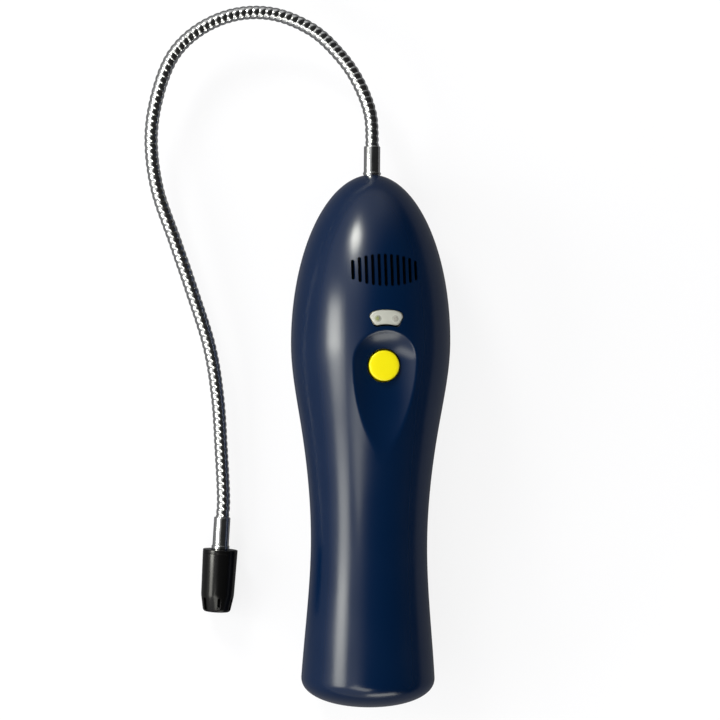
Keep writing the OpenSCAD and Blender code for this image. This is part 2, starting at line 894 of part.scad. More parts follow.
module battery_lead_positive() {
    color("#b3201c") battery_lead(-cell_x);
}

module battery_lead_negative() {
    color("#1a1a1a") battery_lead(cell_x);
}

// Probe

module neck_ferrule() {
    color(steel) difference() {
        union() {
            axial(ferrule_r, ferrule_back, ferrule_end);
            axial(ferrule_flange_r, ferrule_flange_y, ferrule_flange_y + ferrule_flange_t);
            axial(ferrule_lip_r, nose_l + seat_gap, nose_l + seat_gap + ferrule_lip_t);
        }
        axial(neck_bore_r, neck_root_y - seat_gap, ferrule_end + cut);
        axial(wire_bore_r, ferrule_back - cut, neck_root_y + cut);
    }
}

// One length of the ridged neck, tapered where it meets the next one
module neck_part(i) {
    low_hinge = i == 0 ? -neck_l : neck_l * i / neck_parts;
    high_hinge = i == neck_parts - 1 ? 2 * neck_l : neck_l * (i + 1) / neck_parts;
    from = max(0, low_hinge + link_gap);
    to = min(neck_l, high_hinge - link_gap);
    steps = 2 * round((to - from) / neck_pitch);
    runs = [for (k = [0:steps]) from + (to - from) * k / steps];
    radii = [
        for (k = [0:steps])
            min(neck_r - (k % 2 == 0 ? neck_groove : 0),
                link_taper * (runs[k] - low_hinge), link_taper * (high_hinge - runs[k]))
    ];
    color(steel) sweep([for (s = runs) neck_point(s)], radii, [0, 0, 1], neck_sides);
}

module neck_1() {
    neck_part(0);
}

module neck_2() {
    neck_part(1);
}

module neck_3() {
    neck_part(2);
}

module neck_4() {
    neck_part(3);
}

module neck_5() {
    neck_part(4);
}

module neck_6() {
    neck_part(5);
}

module neck_7() {
    neck_part(6);
}

// Puts a part on the tip's axis, in line with the neck's end, its own +Z pointing away from the neck
module at_tip() {
    translate([tip_start[0], tip_start[1], tip_h]) rotate([90, 0, tip_turn]) children();
}

module tip_ferrule() {
    color(steel) at_tip() difference() {
        union() {
            cylinder(r = ferrule_r, h = collar_at);
            translate([0, 0, collar_at - 1.5]) cylinder(r = ferrule_lip_r, h = 1.5);
            cylinder(r = spigot_r, h = collar_at + spigot_l);
        }
        translate([0, 0, -cut]) cylinder(r = neck_bore_r, h = neck_seat + seat_gap + cut);
        translate([0, 0, neck_seat]) cylinder(r = wire_bore_r, h = collar_at + spigot_l);
    }
}

module sensor_socket() {
    color(black) at_tip() difference() {
        union() {
            translate([0, 0, collar_at]) cylinder(r = guard_r, h = socket_collar_l);
            translate([0, 0, collar_at]) cylinder(r = socket_r, h = socket_end - collar_at);
        }
        translate([0, 0, collar_at - cut]) cylinder(r = spigot_r + 0.05, h = spigot_l + cut);
        translate([0, 0, sensor_at]) cylinder(r = sensor_r + 0.05, h = sensor_seat + cut);
    }
}

module sensor_element() {
    cap = 1;
    color("#a9adb0") at_tip() translate([0, 0, sensor_at]) rotate_extrude() polygon([
        [0, 0], [sensor_r, 0], [sensor_r, sensor_l - cap], [sensor_r - cap, sensor_l], [0, sensor_l]
    ]);
}

module tip_guard() {
    bore_r = guard_r - guard_wall;
    color(black) at_tip() difference() {
        rotate_extrude() polygon([
            [bore_r, guard_at], [guard_r, guard_at], [guard_front_r, guard_nose_at],
            [guard_end_r, guard_end - guard_edge], [guard_end_r - guard_edge, guard_end],
            [guard_mouth_r, guard_end], [guard_mouth_r, guard_end - guard_lip_l],
            [guard_end_r - guard_nose_wall, guard_end - guard_lip_l - 0.4],
            [guard_front_r - guard_wall, guard_nose_at],
            [bore_r, guard_nose_at - 1]
        ]);
        for (i = [0:guard_slots - 1])
            rotate([0, 0, 360 * i / guard_slots])
                block([guard_mouth_r - 2, -0.75, guard_nose_at + 1.2], [guard_r, 0.75, guard_end - 1.6]);
    }
}

front_shell();
rear_shell();
battery_door();
housing_screws();
board_screws();
button_cap();
switch_plunger();
switch_body();
indicator_window();
status_led();
alarm_led();
led_spacer();
main_board();
sounder();
control_chip();
filter_capacitors();
sensor_connector();
battery_1();
battery_2();
battery_3();
battery_4();
base_contact();
head_contact_positive();
head_contact_negative();
battery_spring_left();
battery_spring_right();
battery_lead_positive();
battery_lead_negative();
sensor_lead();
neck_ferrule();
neck_1();
neck_2();
neck_3();
neck_4();
neck_5();
neck_6();
neck_7();
tip_ferrule();
sensor_socket();
sensor_element();
tip_guard();
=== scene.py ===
"""Handheld refrigerant leak detector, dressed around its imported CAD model.

The detector lies on its back: +Z points out of the front, +Y towards the nose, and the origin is on
the flat back, under the widest ring of the head. Sizes are in millimetres and become metres where a
mesh is made.
"""

import logging
import math
from dataclasses import dataclass
from enum import Enum
from typing import Sequence

import bmesh
import bpy
import numpy as np
from mathutils import Matrix, Vector


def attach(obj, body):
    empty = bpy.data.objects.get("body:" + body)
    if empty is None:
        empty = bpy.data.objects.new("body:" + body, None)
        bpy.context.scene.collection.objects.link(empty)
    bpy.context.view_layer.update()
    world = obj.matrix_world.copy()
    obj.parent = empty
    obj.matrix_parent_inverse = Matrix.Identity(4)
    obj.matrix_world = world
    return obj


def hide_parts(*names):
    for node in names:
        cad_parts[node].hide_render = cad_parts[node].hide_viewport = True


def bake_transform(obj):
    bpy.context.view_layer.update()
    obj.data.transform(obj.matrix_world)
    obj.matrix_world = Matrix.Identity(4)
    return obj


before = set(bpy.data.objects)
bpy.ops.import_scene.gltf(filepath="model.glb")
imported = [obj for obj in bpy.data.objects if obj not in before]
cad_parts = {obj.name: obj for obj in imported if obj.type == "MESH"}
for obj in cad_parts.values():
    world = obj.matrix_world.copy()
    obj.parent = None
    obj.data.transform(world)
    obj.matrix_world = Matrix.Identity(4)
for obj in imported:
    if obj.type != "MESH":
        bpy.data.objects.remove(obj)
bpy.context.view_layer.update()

MM = 0.001
MERGE_M = 1e-7
ON_AXIS = 1e-9
LEAST_COSINE = 1e-3
LOG = logging.getLogger("leak_detector")

Point = tuple[float, float, float]
Flat = tuple[float, float]
Profile = Sequence[Flat]
Object = bpy.types.Object
Material = bpy.types.Material
Tree = bpy.types.NodeTree
Node = bpy.types.Node
Socket = bpy.types.NodeSocket


class Body(Enum):
    """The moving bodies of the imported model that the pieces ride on."""

    HANDLE = "handle"
    BUTTON = "button"
    DOOR = "battery_door"
    LINK_2 = "neck_link_2"
    LINK_3 = "neck_link_3"
    LINK_4 = "neck_link_4"
    LINK_5 = "neck_link_5"
    LINK_6 = "neck_link_6"
    TIP = "probe_tip"
    GUARD = "tip_guard"


class Half(Enum):
    """The two mouldings of the housing, by the side of the parting line they are on."""

    FRONT = 1
    REAR = -1


class Cut(Enum):
    """What a boolean does with its second solid."""

    AWAY = "DIFFERENCE"
    COMMON = "INTERSECT"
    JOIN = "UNION"


@dataclass(frozen=True)
class Bend:
    """A hinge that a piece spans: the body beyond it, and where the bend would run, in metres."""

    far: Body
    start: Point
    end: Point


# Helpers for colours, meshes and nodes


def linear(code: str) -> tuple[float, float, float, float]:
    """Turns an sRGB hex colour into linear light.

    Args:
        code: Six hex digits after a hash sign.

    Returns:
        Red, green, blue and an alpha of 1.
    """
    parts = [int(code[i:i + 2], 16) / 255 for i in (1, 3, 5)]
    light = [p / 12.92 if p <= 0.04045 else ((p + 0.055) / 1.055) ** 2.4 for p in parts]
    return (light[0], light[1], light[2], 1.0)


def mesh_object(name: str, points: Sequence[Point] | np.ndarray, faces: Sequence[Sequence[int]],
                edges: Sequence[Sequence[int]] = ()) -> Object:
    """Makes an object from points in millimetres.

    Args:
        name: Name of the object and its mesh.
        points: Corners, three numbers each.
        faces: Corner numbers of each face.
        edges: Corner numbers of each loose edge.

    Returns:
        The object, linked to the scene.
    """
    mesh = bpy.data.meshes.new(name)
    mesh.from_pydata((np.asarray(points, dtype=float) * MM).tolist(), edges, faces)
    mesh.update()
    obj = bpy.data.objects.new(name, mesh)
    bpy.context.collection.objects.link(obj)
    return obj


def closed_mesh(name: str, points: Sequence[Point] | np.ndarray, faces: list[list[int]]) -> Object:
    """Makes a closed solid, with its doubles merged and its faces turned outwards.

    Args:
        name: Name of the object.
        points: Corners in millimetres. Those that no face uses are left out.
        faces: Corner numbers of each face.

    Returns:
        The solid.
    """
    used = sorted({corner for face in faces for corner in face})
    number = {corner: index for index, corner in enumerate(used)}
    kept = np.asarray(points, dtype=float)[used]
    obj = mesh_object(name, kept, [[number[corner] for corner in face] for face in faces])
    work = bmesh.new()
    work.from_mesh(obj.data)
    bmesh.ops.remove_doubles(work, verts=work.verts, dist=MERGE_M)
    bmesh.ops.recalc_face_normals(work, faces=work.faces)
    work.to_mesh(obj.data)
    work.free()
    return obj


def plain_mesh(obj: Object) -> None:
    """Replaces an object's mesh by its evaluated one and drops its modifiers.

    Args:
        obj: Object with modifiers.
    """
    graph = bpy.context.evaluated_depsgraph_get()
    mesh = bpy.data.meshes.new_from_object(obj.evaluated_get(graph), depsgraph=graph)
    obj.modifiers.clear()
    old, obj.data = obj.data, mesh
    bpy.data.meshes.remove(old)
    mesh.name = obj.name


def combine(obj: Object, other: Object, cut: Cut) -> Object:
    """Cuts, joins or intersects a closed solid with another one, which is used up.

    Args:
        obj: Solid that stays.
        other: Solid that is used.
        cut: What is done with it.

    Returns:
        The first solid.
    """
    tool = obj.modifiers.new("combine", "BOOLEAN")
    tool.solver = "MANIFOLD"
    tool.operation = cut.value
    tool.object = other
    plain_mesh(obj)
    bpy.data.objects.remove(other)
    return obj


def smooth(obj: Object, crease: float = 40.0) -> Object:
    """Shades a mesh smooth, with sharp edges above an angle.

    Args:
        obj: Object to shade.
        crease: Angle in degrees.

    Returns:
        The same object.
    """
    obj.data.shade_smooth()
    obj.data.set_sharp_from_angle(angle=math.radians(crease))
    return obj


def dress(obj: Object, finish: Material, body: Body, nodes: Sequence[str] = (),
          bend: Bend | None = None) -> None:
    """Gives a piece its material and hides the CAD nodes that it stands for. Without a bend the piece is
    hung on its body; with one it is left unattached, its place baked into its mesh.

    Args:
        obj: The piece.
        finish: Its material.
        body: Body that it rides on; for a piece with a bend, only named in the log.
        nodes: CAD nodes that it replaces.
        bend: The hinge that it spans, if it does; only the name of its far body is used, in the log.
    """
    obj.data.materials.clear()
    obj.data.materials.append(finish)
    rides_on = body.value
    if bend is None:
        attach(obj, body.value)
    else:
        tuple(bend.start)
        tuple(bend.end)
        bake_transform(obj)
        rides_on += f" and {bend.far.value}"
    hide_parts(*nodes)
    LOG.info("%s: %d faces, rides on %s", obj.name, len(obj.data.polygons), rides_on)


def revolve(name: str, profile: Profile, place: Matrix, sides: int) -> Object:
    """Turns a profile about the Z axis into a closed solid and sets it in place.

    Args:
        name: Name of the object.
        profile: Radius and height of each point. It starts and ends on the axis or closes on itself.
        place: Where the axis goes, in millimetres.
        sides: Number of steps round the axis.

    Returns:
        The solid, with its place in its mesh.
    """
    turns = [2 * math.pi * k / sides for k in range(sides)]
    points: list[Point] = []
    rings: list[list[int]] = []
    for radius, height in profile:
        if radius < ON_AXIS:
            rings.append([len(points)] * sides)
            points.append((0.0, 0.0, height))
        else:
            rings.append(list(range(len(points), len(points) + sides)))
            points += [(radius * math.cos(a), radius * math.sin(a), height) for a in turns]
    pairs = list(zip(rings, rings[1:]))
    if profile[0][0] > ON_AXIS or profile[-1][0] > ON_AXIS:
        pairs.append((rings[-1], rings[0]))
    faces: list[list[int]] = []
    for low, high in pairs:
        for k in range(sides):
            n = (k + 1) % sides
            face = list(dict.fromkeys((low[k], low[n], high[n], high[k])))
            if len(face) > 2:
                faces.append(face)
    return closed_mesh(name, [tuple(place @ Vector(p)) for p in points], faces)


def rounded(profile: Profile, radii: Sequence[float], steps: int = 4) -> list[Flat]:
    """Rounds the corners of an open profile.

    Args:
        profile: Corners of the profile.
        radii: Length cut off each side of each corner, 0 for a sharp one.
        steps: Points on each rounded corner.

    Returns:
        The rounded profile.
    """
    result: list[Flat] = []
    for i, (corner, radius) in enumerate(zip(profile, radii)):
        if radius <= 0:
            result.append(tuple(corner))
            continue
        here = Vector(corner)
        before = here + (Vector(profile[i - 1]) - here).normalized() * radius
        after = here + (Vector(profile[(i + 1) % len(profile)]) - here).normalized() * radius
        for k in range(steps + 1):
            t = k / steps
            p = before * (1 - t) ** 2 + here * 2 * t * (1 - t) + after * t * t
            result.append((p.x, p.y))
    return result


def prism(name: str, outline: Profile, low: float, high: float) -> Object:
    """Makes an upright prism.

    Args:
        name: Name of the object.
        outline: Its outline in plan.
        low: Height of its lower face.
        high: Height of its upper face.

    Returns:
        The closed solid.
    """
    n = len(outline)
    points = [(x, y, z) for z in (low, high) for x, y in outline]
    faces = [list(range(n)), list(range(n, 2 * n))]
    faces += [[k, (k + 1) % n, n + (k + 1) % n, n + k] for k in range(n)]
    return closed_mesh(name, points, faces)


def box(name: str, low: Point, high: Point) -> Object:
    """Makes a block from its two corners."""
    outline = [(low[0], low[1]), (high[0], low[1]), (high[0], high[1]), (low[0], high[1])]
    return prism(name, outline, low[2], high[2])


def upright(x: float, y: float, z: float = 0.0) -> Matrix:
    """Place of an upright axis."""
    return Matrix.Translation((x, y, z))


def along_y(x: float, y: float, z: float, sign: int) -> Matrix:
    """Place of an axis along +Y or -Y, whose own heights count from the given point."""
    return Matrix.Translation((x, y, z)) @ Matrix.Rotation(-sign * math.pi / 2, 4, "X")


class Nodes:
    """A node tree that is being built, in a material, a world or a modifier."""

    def __init__(self, tree: Tree) -> None:
        """Takes the tree."""
        self.tree = tree

    def feed(self, node: Node, inputs: dict) -> None:
        """Sets or links the inputs of a node.

        Args:
            node: Node that is fed.
            inputs: For each input, by name or number, its value, a socket, a node whose first output
                is meant, or a list of nodes.
        """
        for key, value in inputs.items():
            for source in value if isinstance(value, list) else [value]:
                if isinstance(source, Node):
                    source = source.outputs[0]
                if isinstance(source, Socket):
                    self.tree.links.new(source, node.inputs[key])
                else:
                    node.inputs[key].default_value = source

    def add(self, kind: str, inputs: dict | None = None, **settings) -> Node:
        """Adds a node with its settings, values and links.

        Args:
            kind: Blender's name of the node type.
            inputs: Its inputs, as feed takes them.
            **settings: Properties of the node.

        Returns:
            The new node.
        """
        node = self.tree.nodes.new(kind)
        for key, value in settings.items():
            setattr(node, key, value)
        self.feed(node, inputs or {})
        return node


class NodeShape(Nodes):
    """A Geometry Nodes tree with named sizes, which is run once and becomes a plain mesh."""

    def __init__(self, name: str, sizes: dict[str, float | int]) -> None:
        """Starts the tree.

        Args:
            name: Name of the tree.
            sizes: Its named inputs: lengths in millimetres as floats, and counts as whole numbers.
        """
        super().__init__(bpy.data.node_groups.new(name, "GeometryNodeTree"))
        self.name = name
        sockets = self.tree.interface
        for way in ("INPUT", "OUTPUT"):
            sockets.new_socket(name="Geometry", in_out=way, socket_type="NodeSocketGeometry")
        self.values: dict[str, float | int] = {}
        for label, value in sizes.items():
            is_count = isinstance(value, int)
            kind = "NodeSocketInt" if is_count else "NodeSocketFloat"
            key = sockets.new_socket(name=label, in_out="INPUT", socket_type=kind).identifier
            self.values[key] = value if is_count else value * MM
        self.source = self.add("NodeGroupInput")

    def __getitem__(self, label: str) -> Socket:
        """Socket of a named input."""
        return self.source.outputs[label]

    def finish(self, geometry: Node, base: Object, finish: Material | None = None) -> Object:
        """Ends the tree, runs it on an object and keeps the result as that object's mesh.

        Args:
            geometry: Node that has made the shape.
            base: Object whose mesh goes into the tree.
            finish: Material of the result, none for a cutter.

        Returns:
            The object, with a plain mesh and no modifier.
        """
        real = self.add("GeometryNodeRealizeInstances", {"Geometry": geometry})
        painted = self.add("GeometryNodeSetMaterial", {"Geometry": real, "Material": finish})
        self.add("NodeGroupOutput", {"Geometry": painted})
        run = base.modifiers.new(self.name, "NODES")
        run.node_group = self.tree
        for key, value in self.values.items():
            run[key] = value
        plain_mesh(base)
        return base


# Finishes


class Paint(Nodes):
    """The nodes of a new material with one shader."""

    def __init__(self, name: str) -> None:
        """Starts the material.

        Args:
            name: Name of the material.
        """
        self.material = bpy.data.materials.new(name)
        self.material.use_nodes = True
        super().__init__(self.material.node_tree)
        self.coordinates = self.add("ShaderNodeTexCoord").outputs

    def finish(self, inputs: dict) -> Material:
        """The material, once its shader has its inputs."""
        self.feed(self.tree.nodes["Principled BSDF"], inputs)
        return self.material


@dataclass(frozen=True)
class MouldedPlastic:
    """Injection-moulded plastic with a spark-eroded skin, which breaks up its sheen a little."""

    name: str
    colour: str
    roughness: float
    mottle: float = 0.03
    mottle_mm: float = 25.0
    specular: float = 0.5
    paler: float = 1.1
    # Real spark-eroded grain is about 0.1 mm, too fine to show, so it is drawn coarser
    grain_mm: float = 0.6
    grain_depth_mm: float = 0.0015

    def build(self) -> Material:
        """Makes the material.

        Returns:
            The material, with its grain, an uneven sheen and a slightly uneven colour.
        """
        paint = Paint(self.name)
        place = paint.coordinates["Object"]
        grain = paint.add("ShaderNodeTexNoise", {
            "Vector": place, "Scale": 1 / (self.grain_mm * MM), "Detail": 3.0})
        patches = paint.add("ShaderNodeTexNoise", {
            "Vector": place, "Scale": 1 / (self.mottle_mm * MM), "Detail": 1.0})
        sheen = paint.add("ShaderNodeMapRange", {
            "Value": patches, "From Min": 0.3, "From Max": 0.7,
            "To Min": self.roughness - self.mottle, "To Max": self.roughness + self.mottle})
        tone = linear(self.colour)
        pale = tuple(min(1.0, part * self.paler) for part in tone[:3]) + (1.0,)
        shade = paint.add("ShaderNodeMix", {0: patches, 6: tone, 7: pale}, data_type="RGBA")
        bump = paint.add("ShaderNodeBump", {"Height": grain, "Distance": self.grain_depth_mm * MM})
        return paint.finish({
            "Base Color": shade.outputs[2], "Roughness": sheen, "Normal": bump,
            "Specular IOR Level": self.specular})


@dataclass(frozen=True)
class PlatedMetal:
    """Bright plated metal, polished, with faint hazy patches from handling."""

    name: str
    colour: str
    roughness: float
    haze: float = 0.06
    haze_mm: float = 3.0
    edge: str = "#9c9d9d"

    def build(self) -> Material:
        """Makes the material.

        Returns:
            The material, with an uneven polish at the size given.
        """
        paint = Paint(self.name)
        patches = paint.add("ShaderNodeTexNoise", {
            "Vector": paint.coordinates["Object"], "Scale": 1 / (self.haze_mm * MM), "Detail": 5.0,
            "Roughness": 0.6})
        polish = paint.add("ShaderNodeMapRange", {
            "Value": patches, "From Min": 0.35, "From Max": 0.7,
            "To Min": self.roughness, "To Max": self.roughness + self.haze})
        return paint.finish({
            "Metallic": 1.0, "Base Color": linear(self.colour), "Roughness": polish,
            "Specular Tint": linear(self.edge)})


@dataclass(frozen=True)
class ClearPlastic:
    """Moulded acrylic, clear with a frosted inside, so what is behind it shows softly."""

    name: str
    colour: str
    roughness: float
    transmission: float
    spots_mm: tuple[Flat, ...]
    ior: float = 1.49
    ripple_mm: float = 2.0
    ripple: float = 1.5
    spot_r_mm: float = 1.2
    spot_soft: Flat = (0.5, 1.2)
    spot_transmission: float = 0.8
    spot_roughness: float = 0.08

    def build(self) -> Material:
        """Makes the material.

        Returns:
            The material, with a slight moulding ripple and clear, unfrosted spots.
        """
        paint = Paint(self.name)
        place = paint.coordinates["Object"]
        ripple = paint.add("ShaderNodeTexNoise", {
            "Vector": place, "Scale": 1 / (self.ripple_mm * MM), "Detail": 2.0})
        frost = paint.add("ShaderNodeMapRange", {
            "Value": ripple, "To Min": self.roughness, "To Max": self.roughness * self.ripple})
        flat = paint.add("ShaderNodeVectorMath", {0: place, 1: (1.0, 1.0, 0.0)}, operation="MULTIPLY")
        nearest: Node | float = 1.0
        for x, y in self.spots_mm:
            off = paint.add("ShaderNodeVectorMath", {
                0: flat, 1: (x * MM, y * MM, 0.0)}, operation="DISTANCE")
            nearest = paint.add("ShaderNodeMath", {
                0: off.outputs["Value"], 1: nearest}, operation="MINIMUM")
        inputs = {"Base Color": linear(self.colour), "IOR": self.ior}
        inside, outside = (self.spot_r_mm * MM * part for part in self.spot_soft)
        for socket, spot, around in (("Transmission Weight", self.spot_transmission, self.transmission),
                                     ("Roughness", self.spot_roughness, frost)):
            inputs[socket] = paint.add("ShaderNodeMapRange", {
                "Value": nearest, "From Min": inside, "From Max": outside,
                "To Min": spot, "To Max": around})
        return paint.finish(inputs)


@dataclass(frozen=True)
class LampEpoxy:
    """Tinted epoxy of an indicator lamp, a little brighter towards its top, where it glows."""

    name: str
    colour: str
    glow: float
    top_mm: float
    height_mm: float
    roughness: float = 0.15

    def build(self) -> Material:
        """Makes the material.

        Returns:
            The material, with a glow that rises towards the top of the lamp.
        """
        paint = Paint(self.name)
        place = paint.add("ShaderNodeSeparateXYZ", {0: paint.coordinates["Object"]})
        rise = paint.add("ShaderNodeMapRange", {
            "Value": place.outputs["Z"], "From Min": (self.top_mm - self.height_mm) * MM,
            "From Max": self.top_mm * MM, "To Min": 0.0, "To Max": self.glow})
        tint = linear(self.colour)
        return paint.finish({
            "Base Color": tint, "Roughness": self.roughness, "Emission Color": tint,
            "Emission Strength": rise})


@dataclass(frozen=True)
class SolderMask:
    """Green solder mask on glass fibre, with paler copper tracks under it."""

    name: str
    mask: str = "#17552e"
    track: str = "#2f7d46"
    track_mm: float = 1.8
    roughness: float = 0.3

    def build(self) -> Material:
        """Makes the material.

        Returns:
            The material, with tracks at the spacing given.
        """
        paint = Paint(self.name)
        tracks = paint.add("ShaderNodeTexBrick", {
            "Vector": paint.coordinates["Object"], "Color1": linear(self.mask),
            "Color2": linear(self.mask), "Mortar": linear(self.track), "Scale": 1 / (self.track_mm * MM),
            "Mortar Size": 0.03, "Brick Width": 3.0, "Row Height": 0.5})
        return paint.finish({"Base Color": tracks, "Roughness": self.roughness})


@dataclass(frozen=True)
class CellSleeve:
    """Shrink sleeve of a dry cell in two colours, with its bare steel ends."""

    name: str
    start_mm: float
    length_mm: float
    band_from: float
    band_to: float
    dark: str = "#1c1c1e"
    band: str = "#b0702c"
    steel: str = "#c9cacb"
    roughness: float = 0.3
    end_facing: float = 0.7

    def build(self) -> Material:
        """Makes the material.

        Returns:
            The material, with the band at its place along each cell and steel on the ends.
        """
        paint = Paint(self.name)
        place = paint.add("ShaderNodeSeparateXYZ", {0: paint.coordinates["Object"]})
        along = paint.add("ShaderNodeMapRange", {
            "Value": place.outputs["Y"], "From Min": self.start_mm * MM,
            "From Max": (self.start_mm + self.length_mm) * MM}, clamp=False)
        part = paint.add("ShaderNodeMath", {0: along}, operation="FRACT")
        above = paint.add("ShaderNodeMath", {0: part, 1: self.band_from}, operation="GREATER_THAN")
        below = paint.add("ShaderNodeMath", {0: part, 1: self.band_to}, operation="LESS_THAN")
        inside = paint.add("ShaderNodeMath", {0: above, 1: below}, operation="MULTIPLY")
        sleeve = paint.add("ShaderNodeMix", {
            0: inside, 6: linear(self.dark), 7: linear(self.band)}, data_type="RGBA")
        facing = paint.add("ShaderNodeSeparateXYZ", {0: paint.coordinates["Normal"]})
        lengthwise = paint.add("ShaderNodeMath", {0: facing.outputs["Y"]}, operation="ABSOLUTE")
        end = paint.add("ShaderNodeMath", {0: lengthwise, 1: self.end_facing}, operation="GREATER_THAN")
        colour = paint.add("ShaderNodeMix", {
            0: end, 6: sleeve.outputs[2], 7: linear(self.steel)}, data_type="RGBA")
        return paint.finish({
            "Base Color": colour.outputs[2], "Metallic": end, "Roughness": self.roughness})


# Housing


@dataclass(frozen=True)
class HousingForm:
    """Outside form of the housing: a revolved outline with a flat back and a thumb scoop."""

    head_r: float = 30.7
    nose_l: float = 64.5
    shoulder_r: float = 26.8
    shoulder_at: float = 31.0
    shoulder_steepness: float = 1.6
    waist_r: float = 22.43
    waist_at: float = 77.5
    base_r: float = 25.7
    base_at: float = 129.0
    end_l: float = 10.8
    end_power: float = 2.2
    axis_h: float = 21.0
    wall: float = 2.4
    nose_hole_r: float = 3.3
    scoop_y: float = -7.1
    scoop_half_w: float = 12.1
    scoop_front_l: float = 11.5
    scoop_tail_l: float = 35.5
    scoop_lift: float = 51.789
    tail_power: float = 0.8
    no_scoop_h: float = 1000.0
    rim_soft: float = 0.45
    back_soft: float = 0.8
    seam_depth: float = 0.18
    seam_w: float = 0.35
    fine_front: float = 38.0
    fine_back: float = -46.0
    fine_step: float = 0.42
    coarse_step: float = 1.3
    nose_rings: int = 30
    end_rings: int = 26
    inner_every: int = 4
    crease: float = 32.0
    # Step number and angle in degrees, with the steps closest where a moulding has its detail
    front_turns: tuple[tuple[int, int], ...] = ((0, 0), (40, 30), (60, 88), (64, 90))
    rear_turns: tuple[tuple[int, int], ...] = ((0, 0), (50, 50), (68, 88), (72, 90))

    def barrel(self, v: np.ndarray) -> np.ndarray:
        """Radius behind the widest ring.

        Args:
            v: Distances behind that ring.

        Returns:
            Radii, as far as the flare.
        """
        slope = -self.shoulder_steepness * (self.head_r - self.waist_r) / self.waist_at
        flare = (self.base_r - self.waist_r) / (self.base_at - self.waist_at)
        knots = (
            (0.0, self.head_r, 0.0), (self.shoulder_at, self.shoulder_r, slope),
            (self.waist_at, self.waist_r, 0.0), (self.base_at, self.base_r, flare))
        radius = np.full_like(v, self.base_r)
        for (v0, r0, s0), (v1, r1, s1) in zip(knots, knots[1:]):
            t = np.clip((v - v0) / (v1 - v0), 0, 1)
            piece = (r0 * (2 * t**3 - 3 * t**2 + 1) + r1 * (3 * t**2 - 2 * t**3)
                     + (v1 - v0) * (s0 * (t**3 - 2 * t**2 + t) + s1 * (t**3 - t**2)))
            radius = np.where((v >= v0) & (v <= v1), piece, radius)
        return radius

    def radius(self, y: np.ndarray) -> np.ndarray:
        """Radius of the outside at places along the axis, as far back as the flare."""
        nose = self.head_r * np.sqrt(np.clip(1 - (y / self.nose_l) ** 2, 0, 1))
        return np.where(y > 0, nose, self.barrel(np.maximum(-y, 0)))

    def rings(self, inset: float, step: float) -> tuple[np.ndarray, np.ndarray]:
        """Places and radii of the rings from the nose hole to the rounded end.

        Args:
            inset: How far the form is moved inwards.
            step: Spacing of the rings about the scoop and the grille.

        Returns:
            Place along the axis and radius of each ring.
        """
        hole = math.acos(self.nose_hole_r / (self.head_r - inset))
        nose = np.linspace(hole, math.asin(self.fine_front / self.nose_l), self.nose_rings)
        ahead = np.linspace(self.fine_front, 0, max(2, round(self.fine_front / step)))[1:]
        nose = np.concatenate([nose, np.arcsin(ahead / self.nose_l)])
        near = np.linspace(0, self.fine_back, max(2, round(-self.fine_back / step)))[1:]
        far_count = round((self.base_at + self.fine_back) / self.coarse_step)
        far = np.linspace(self.fine_back, -self.base_at, far_count)[1:]
        barrel = np.concatenate([near, far])
        end = np.linspace(0, math.pi / 2, self.end_rings)[1:]
        power = 2 / self.end_power
        drop = np.cos(end)
        drop[-1] = 0.0
        y = np.concatenate([
            (self.nose_l - inset) * np.sin(nose), barrel,
            -self.base_at - (self.end_l - inset) * np.sin(end) ** power])
        r = np.concatenate([
            (self.head_r - inset) * np.cos(nose), self.barrel(-barrel) - inset,
            (self.base_r - inset) * drop ** power])
        return y, r

    @staticmethod
    def soft_excess(excess: np.ndarray, width: float) -> np.ndarray:
        """The part of a number above zero, with a rounded start over a half width."""
        near = (excess + width) ** 2 / (4 * width)
        return np.where(excess < -width, 0, np.where(excess > width, excess, near))

    def scoop_height(self, x: np.ndarray, y: np.ndarray) -> np.ndarray:
        """Height of the scoop's surface, which lies above the housing where there is no scoop.

        Args:
            x: Places across.
            y: Places along.

        Returns:
            Heights.
        """
        ahead = 1 - ((y - self.scoop_y) / self.scoop_front_l) ** 2
        behind = 1 - ((y - self.scoop_y) / self.scoop_tail_l) ** 2
        behind = np.sign(behind) * np.abs(behind) ** (2 * self.tail_power)
        half = self.scoop_half_w ** 2 * np.where(y > self.scoop_y, ahead, behind)
        across = self.scoop_lift - np.sqrt(np.maximum(self.radius(y) ** 2 - half, 0))
        reach = half + across ** 2 - x ** 2
        height = self.axis_h + self.scoop_lift - np.sqrt(np.maximum(reach, 0))
        return np.where(reach > 0, height, self.no_scoop_h)

    def skin(self, half: Half, step: float, turn: np.ndarray, inset: float) -> np.ndarray:
        """Points of one moulding's skin.

        Args:
            half: Which moulding.
            step: Spacing of the rings about the scoop and the grille.
            turn: Angles from the middle of the moulding.
            inset: How far this skin is inside the outer one.

        Returns:
            An array of points, by ring and angle.
        """
        y, r = self.rings(inset, step)
        yy, tt = np.meshgrid(y, turn, indexing="ij")
        rr = np.broadcast_to(r[:, None], yy.shape)
        flat = (self.axis_h - inset) / np.maximum(np.cos(tt), LEAST_COSINE)
        if half is Half.REAR:
            rr = rr - self.soft_excess(rr - flat, self.back_soft)
        if inset == 0:
            edge = np.clip(1 - (np.pi / 2 - np.abs(tt)) * rr / self.seam_w, 0, 1)
            rr = rr - self.seam_depth * edge ** 2
        x = rr * np.sin(tt)
        z = self.axis_h + half.value * rr * np.cos(tt)
        if half is Half.FRONT:
            scoop = self.scoop_height(x, yy) - inset
            z = z - self.soft_excess(z - scoop, self.rim_soft)
        return np.stack([x, yy, z], axis=-1)

    def turns(self, half: Half, every: int = 1) -> np.ndarray:
        """Angles round one moulding, closest where it has its detail.

        Args:
            half: Which moulding.
            every: 1 for each step, more to leave steps out.

        Returns:
            Angles from one parting line to the other.
        """
        knots = self.front_turns if half is Half.FRONT else self.rear_turns
        count = knots[-1][0]
        steps = np.arange(-count, count + 1, every)
        side = np.interp(np.abs(steps), [k for k, _ in knots], [a for _, a in knots])
        return np.radians(np.sign(steps) * side)

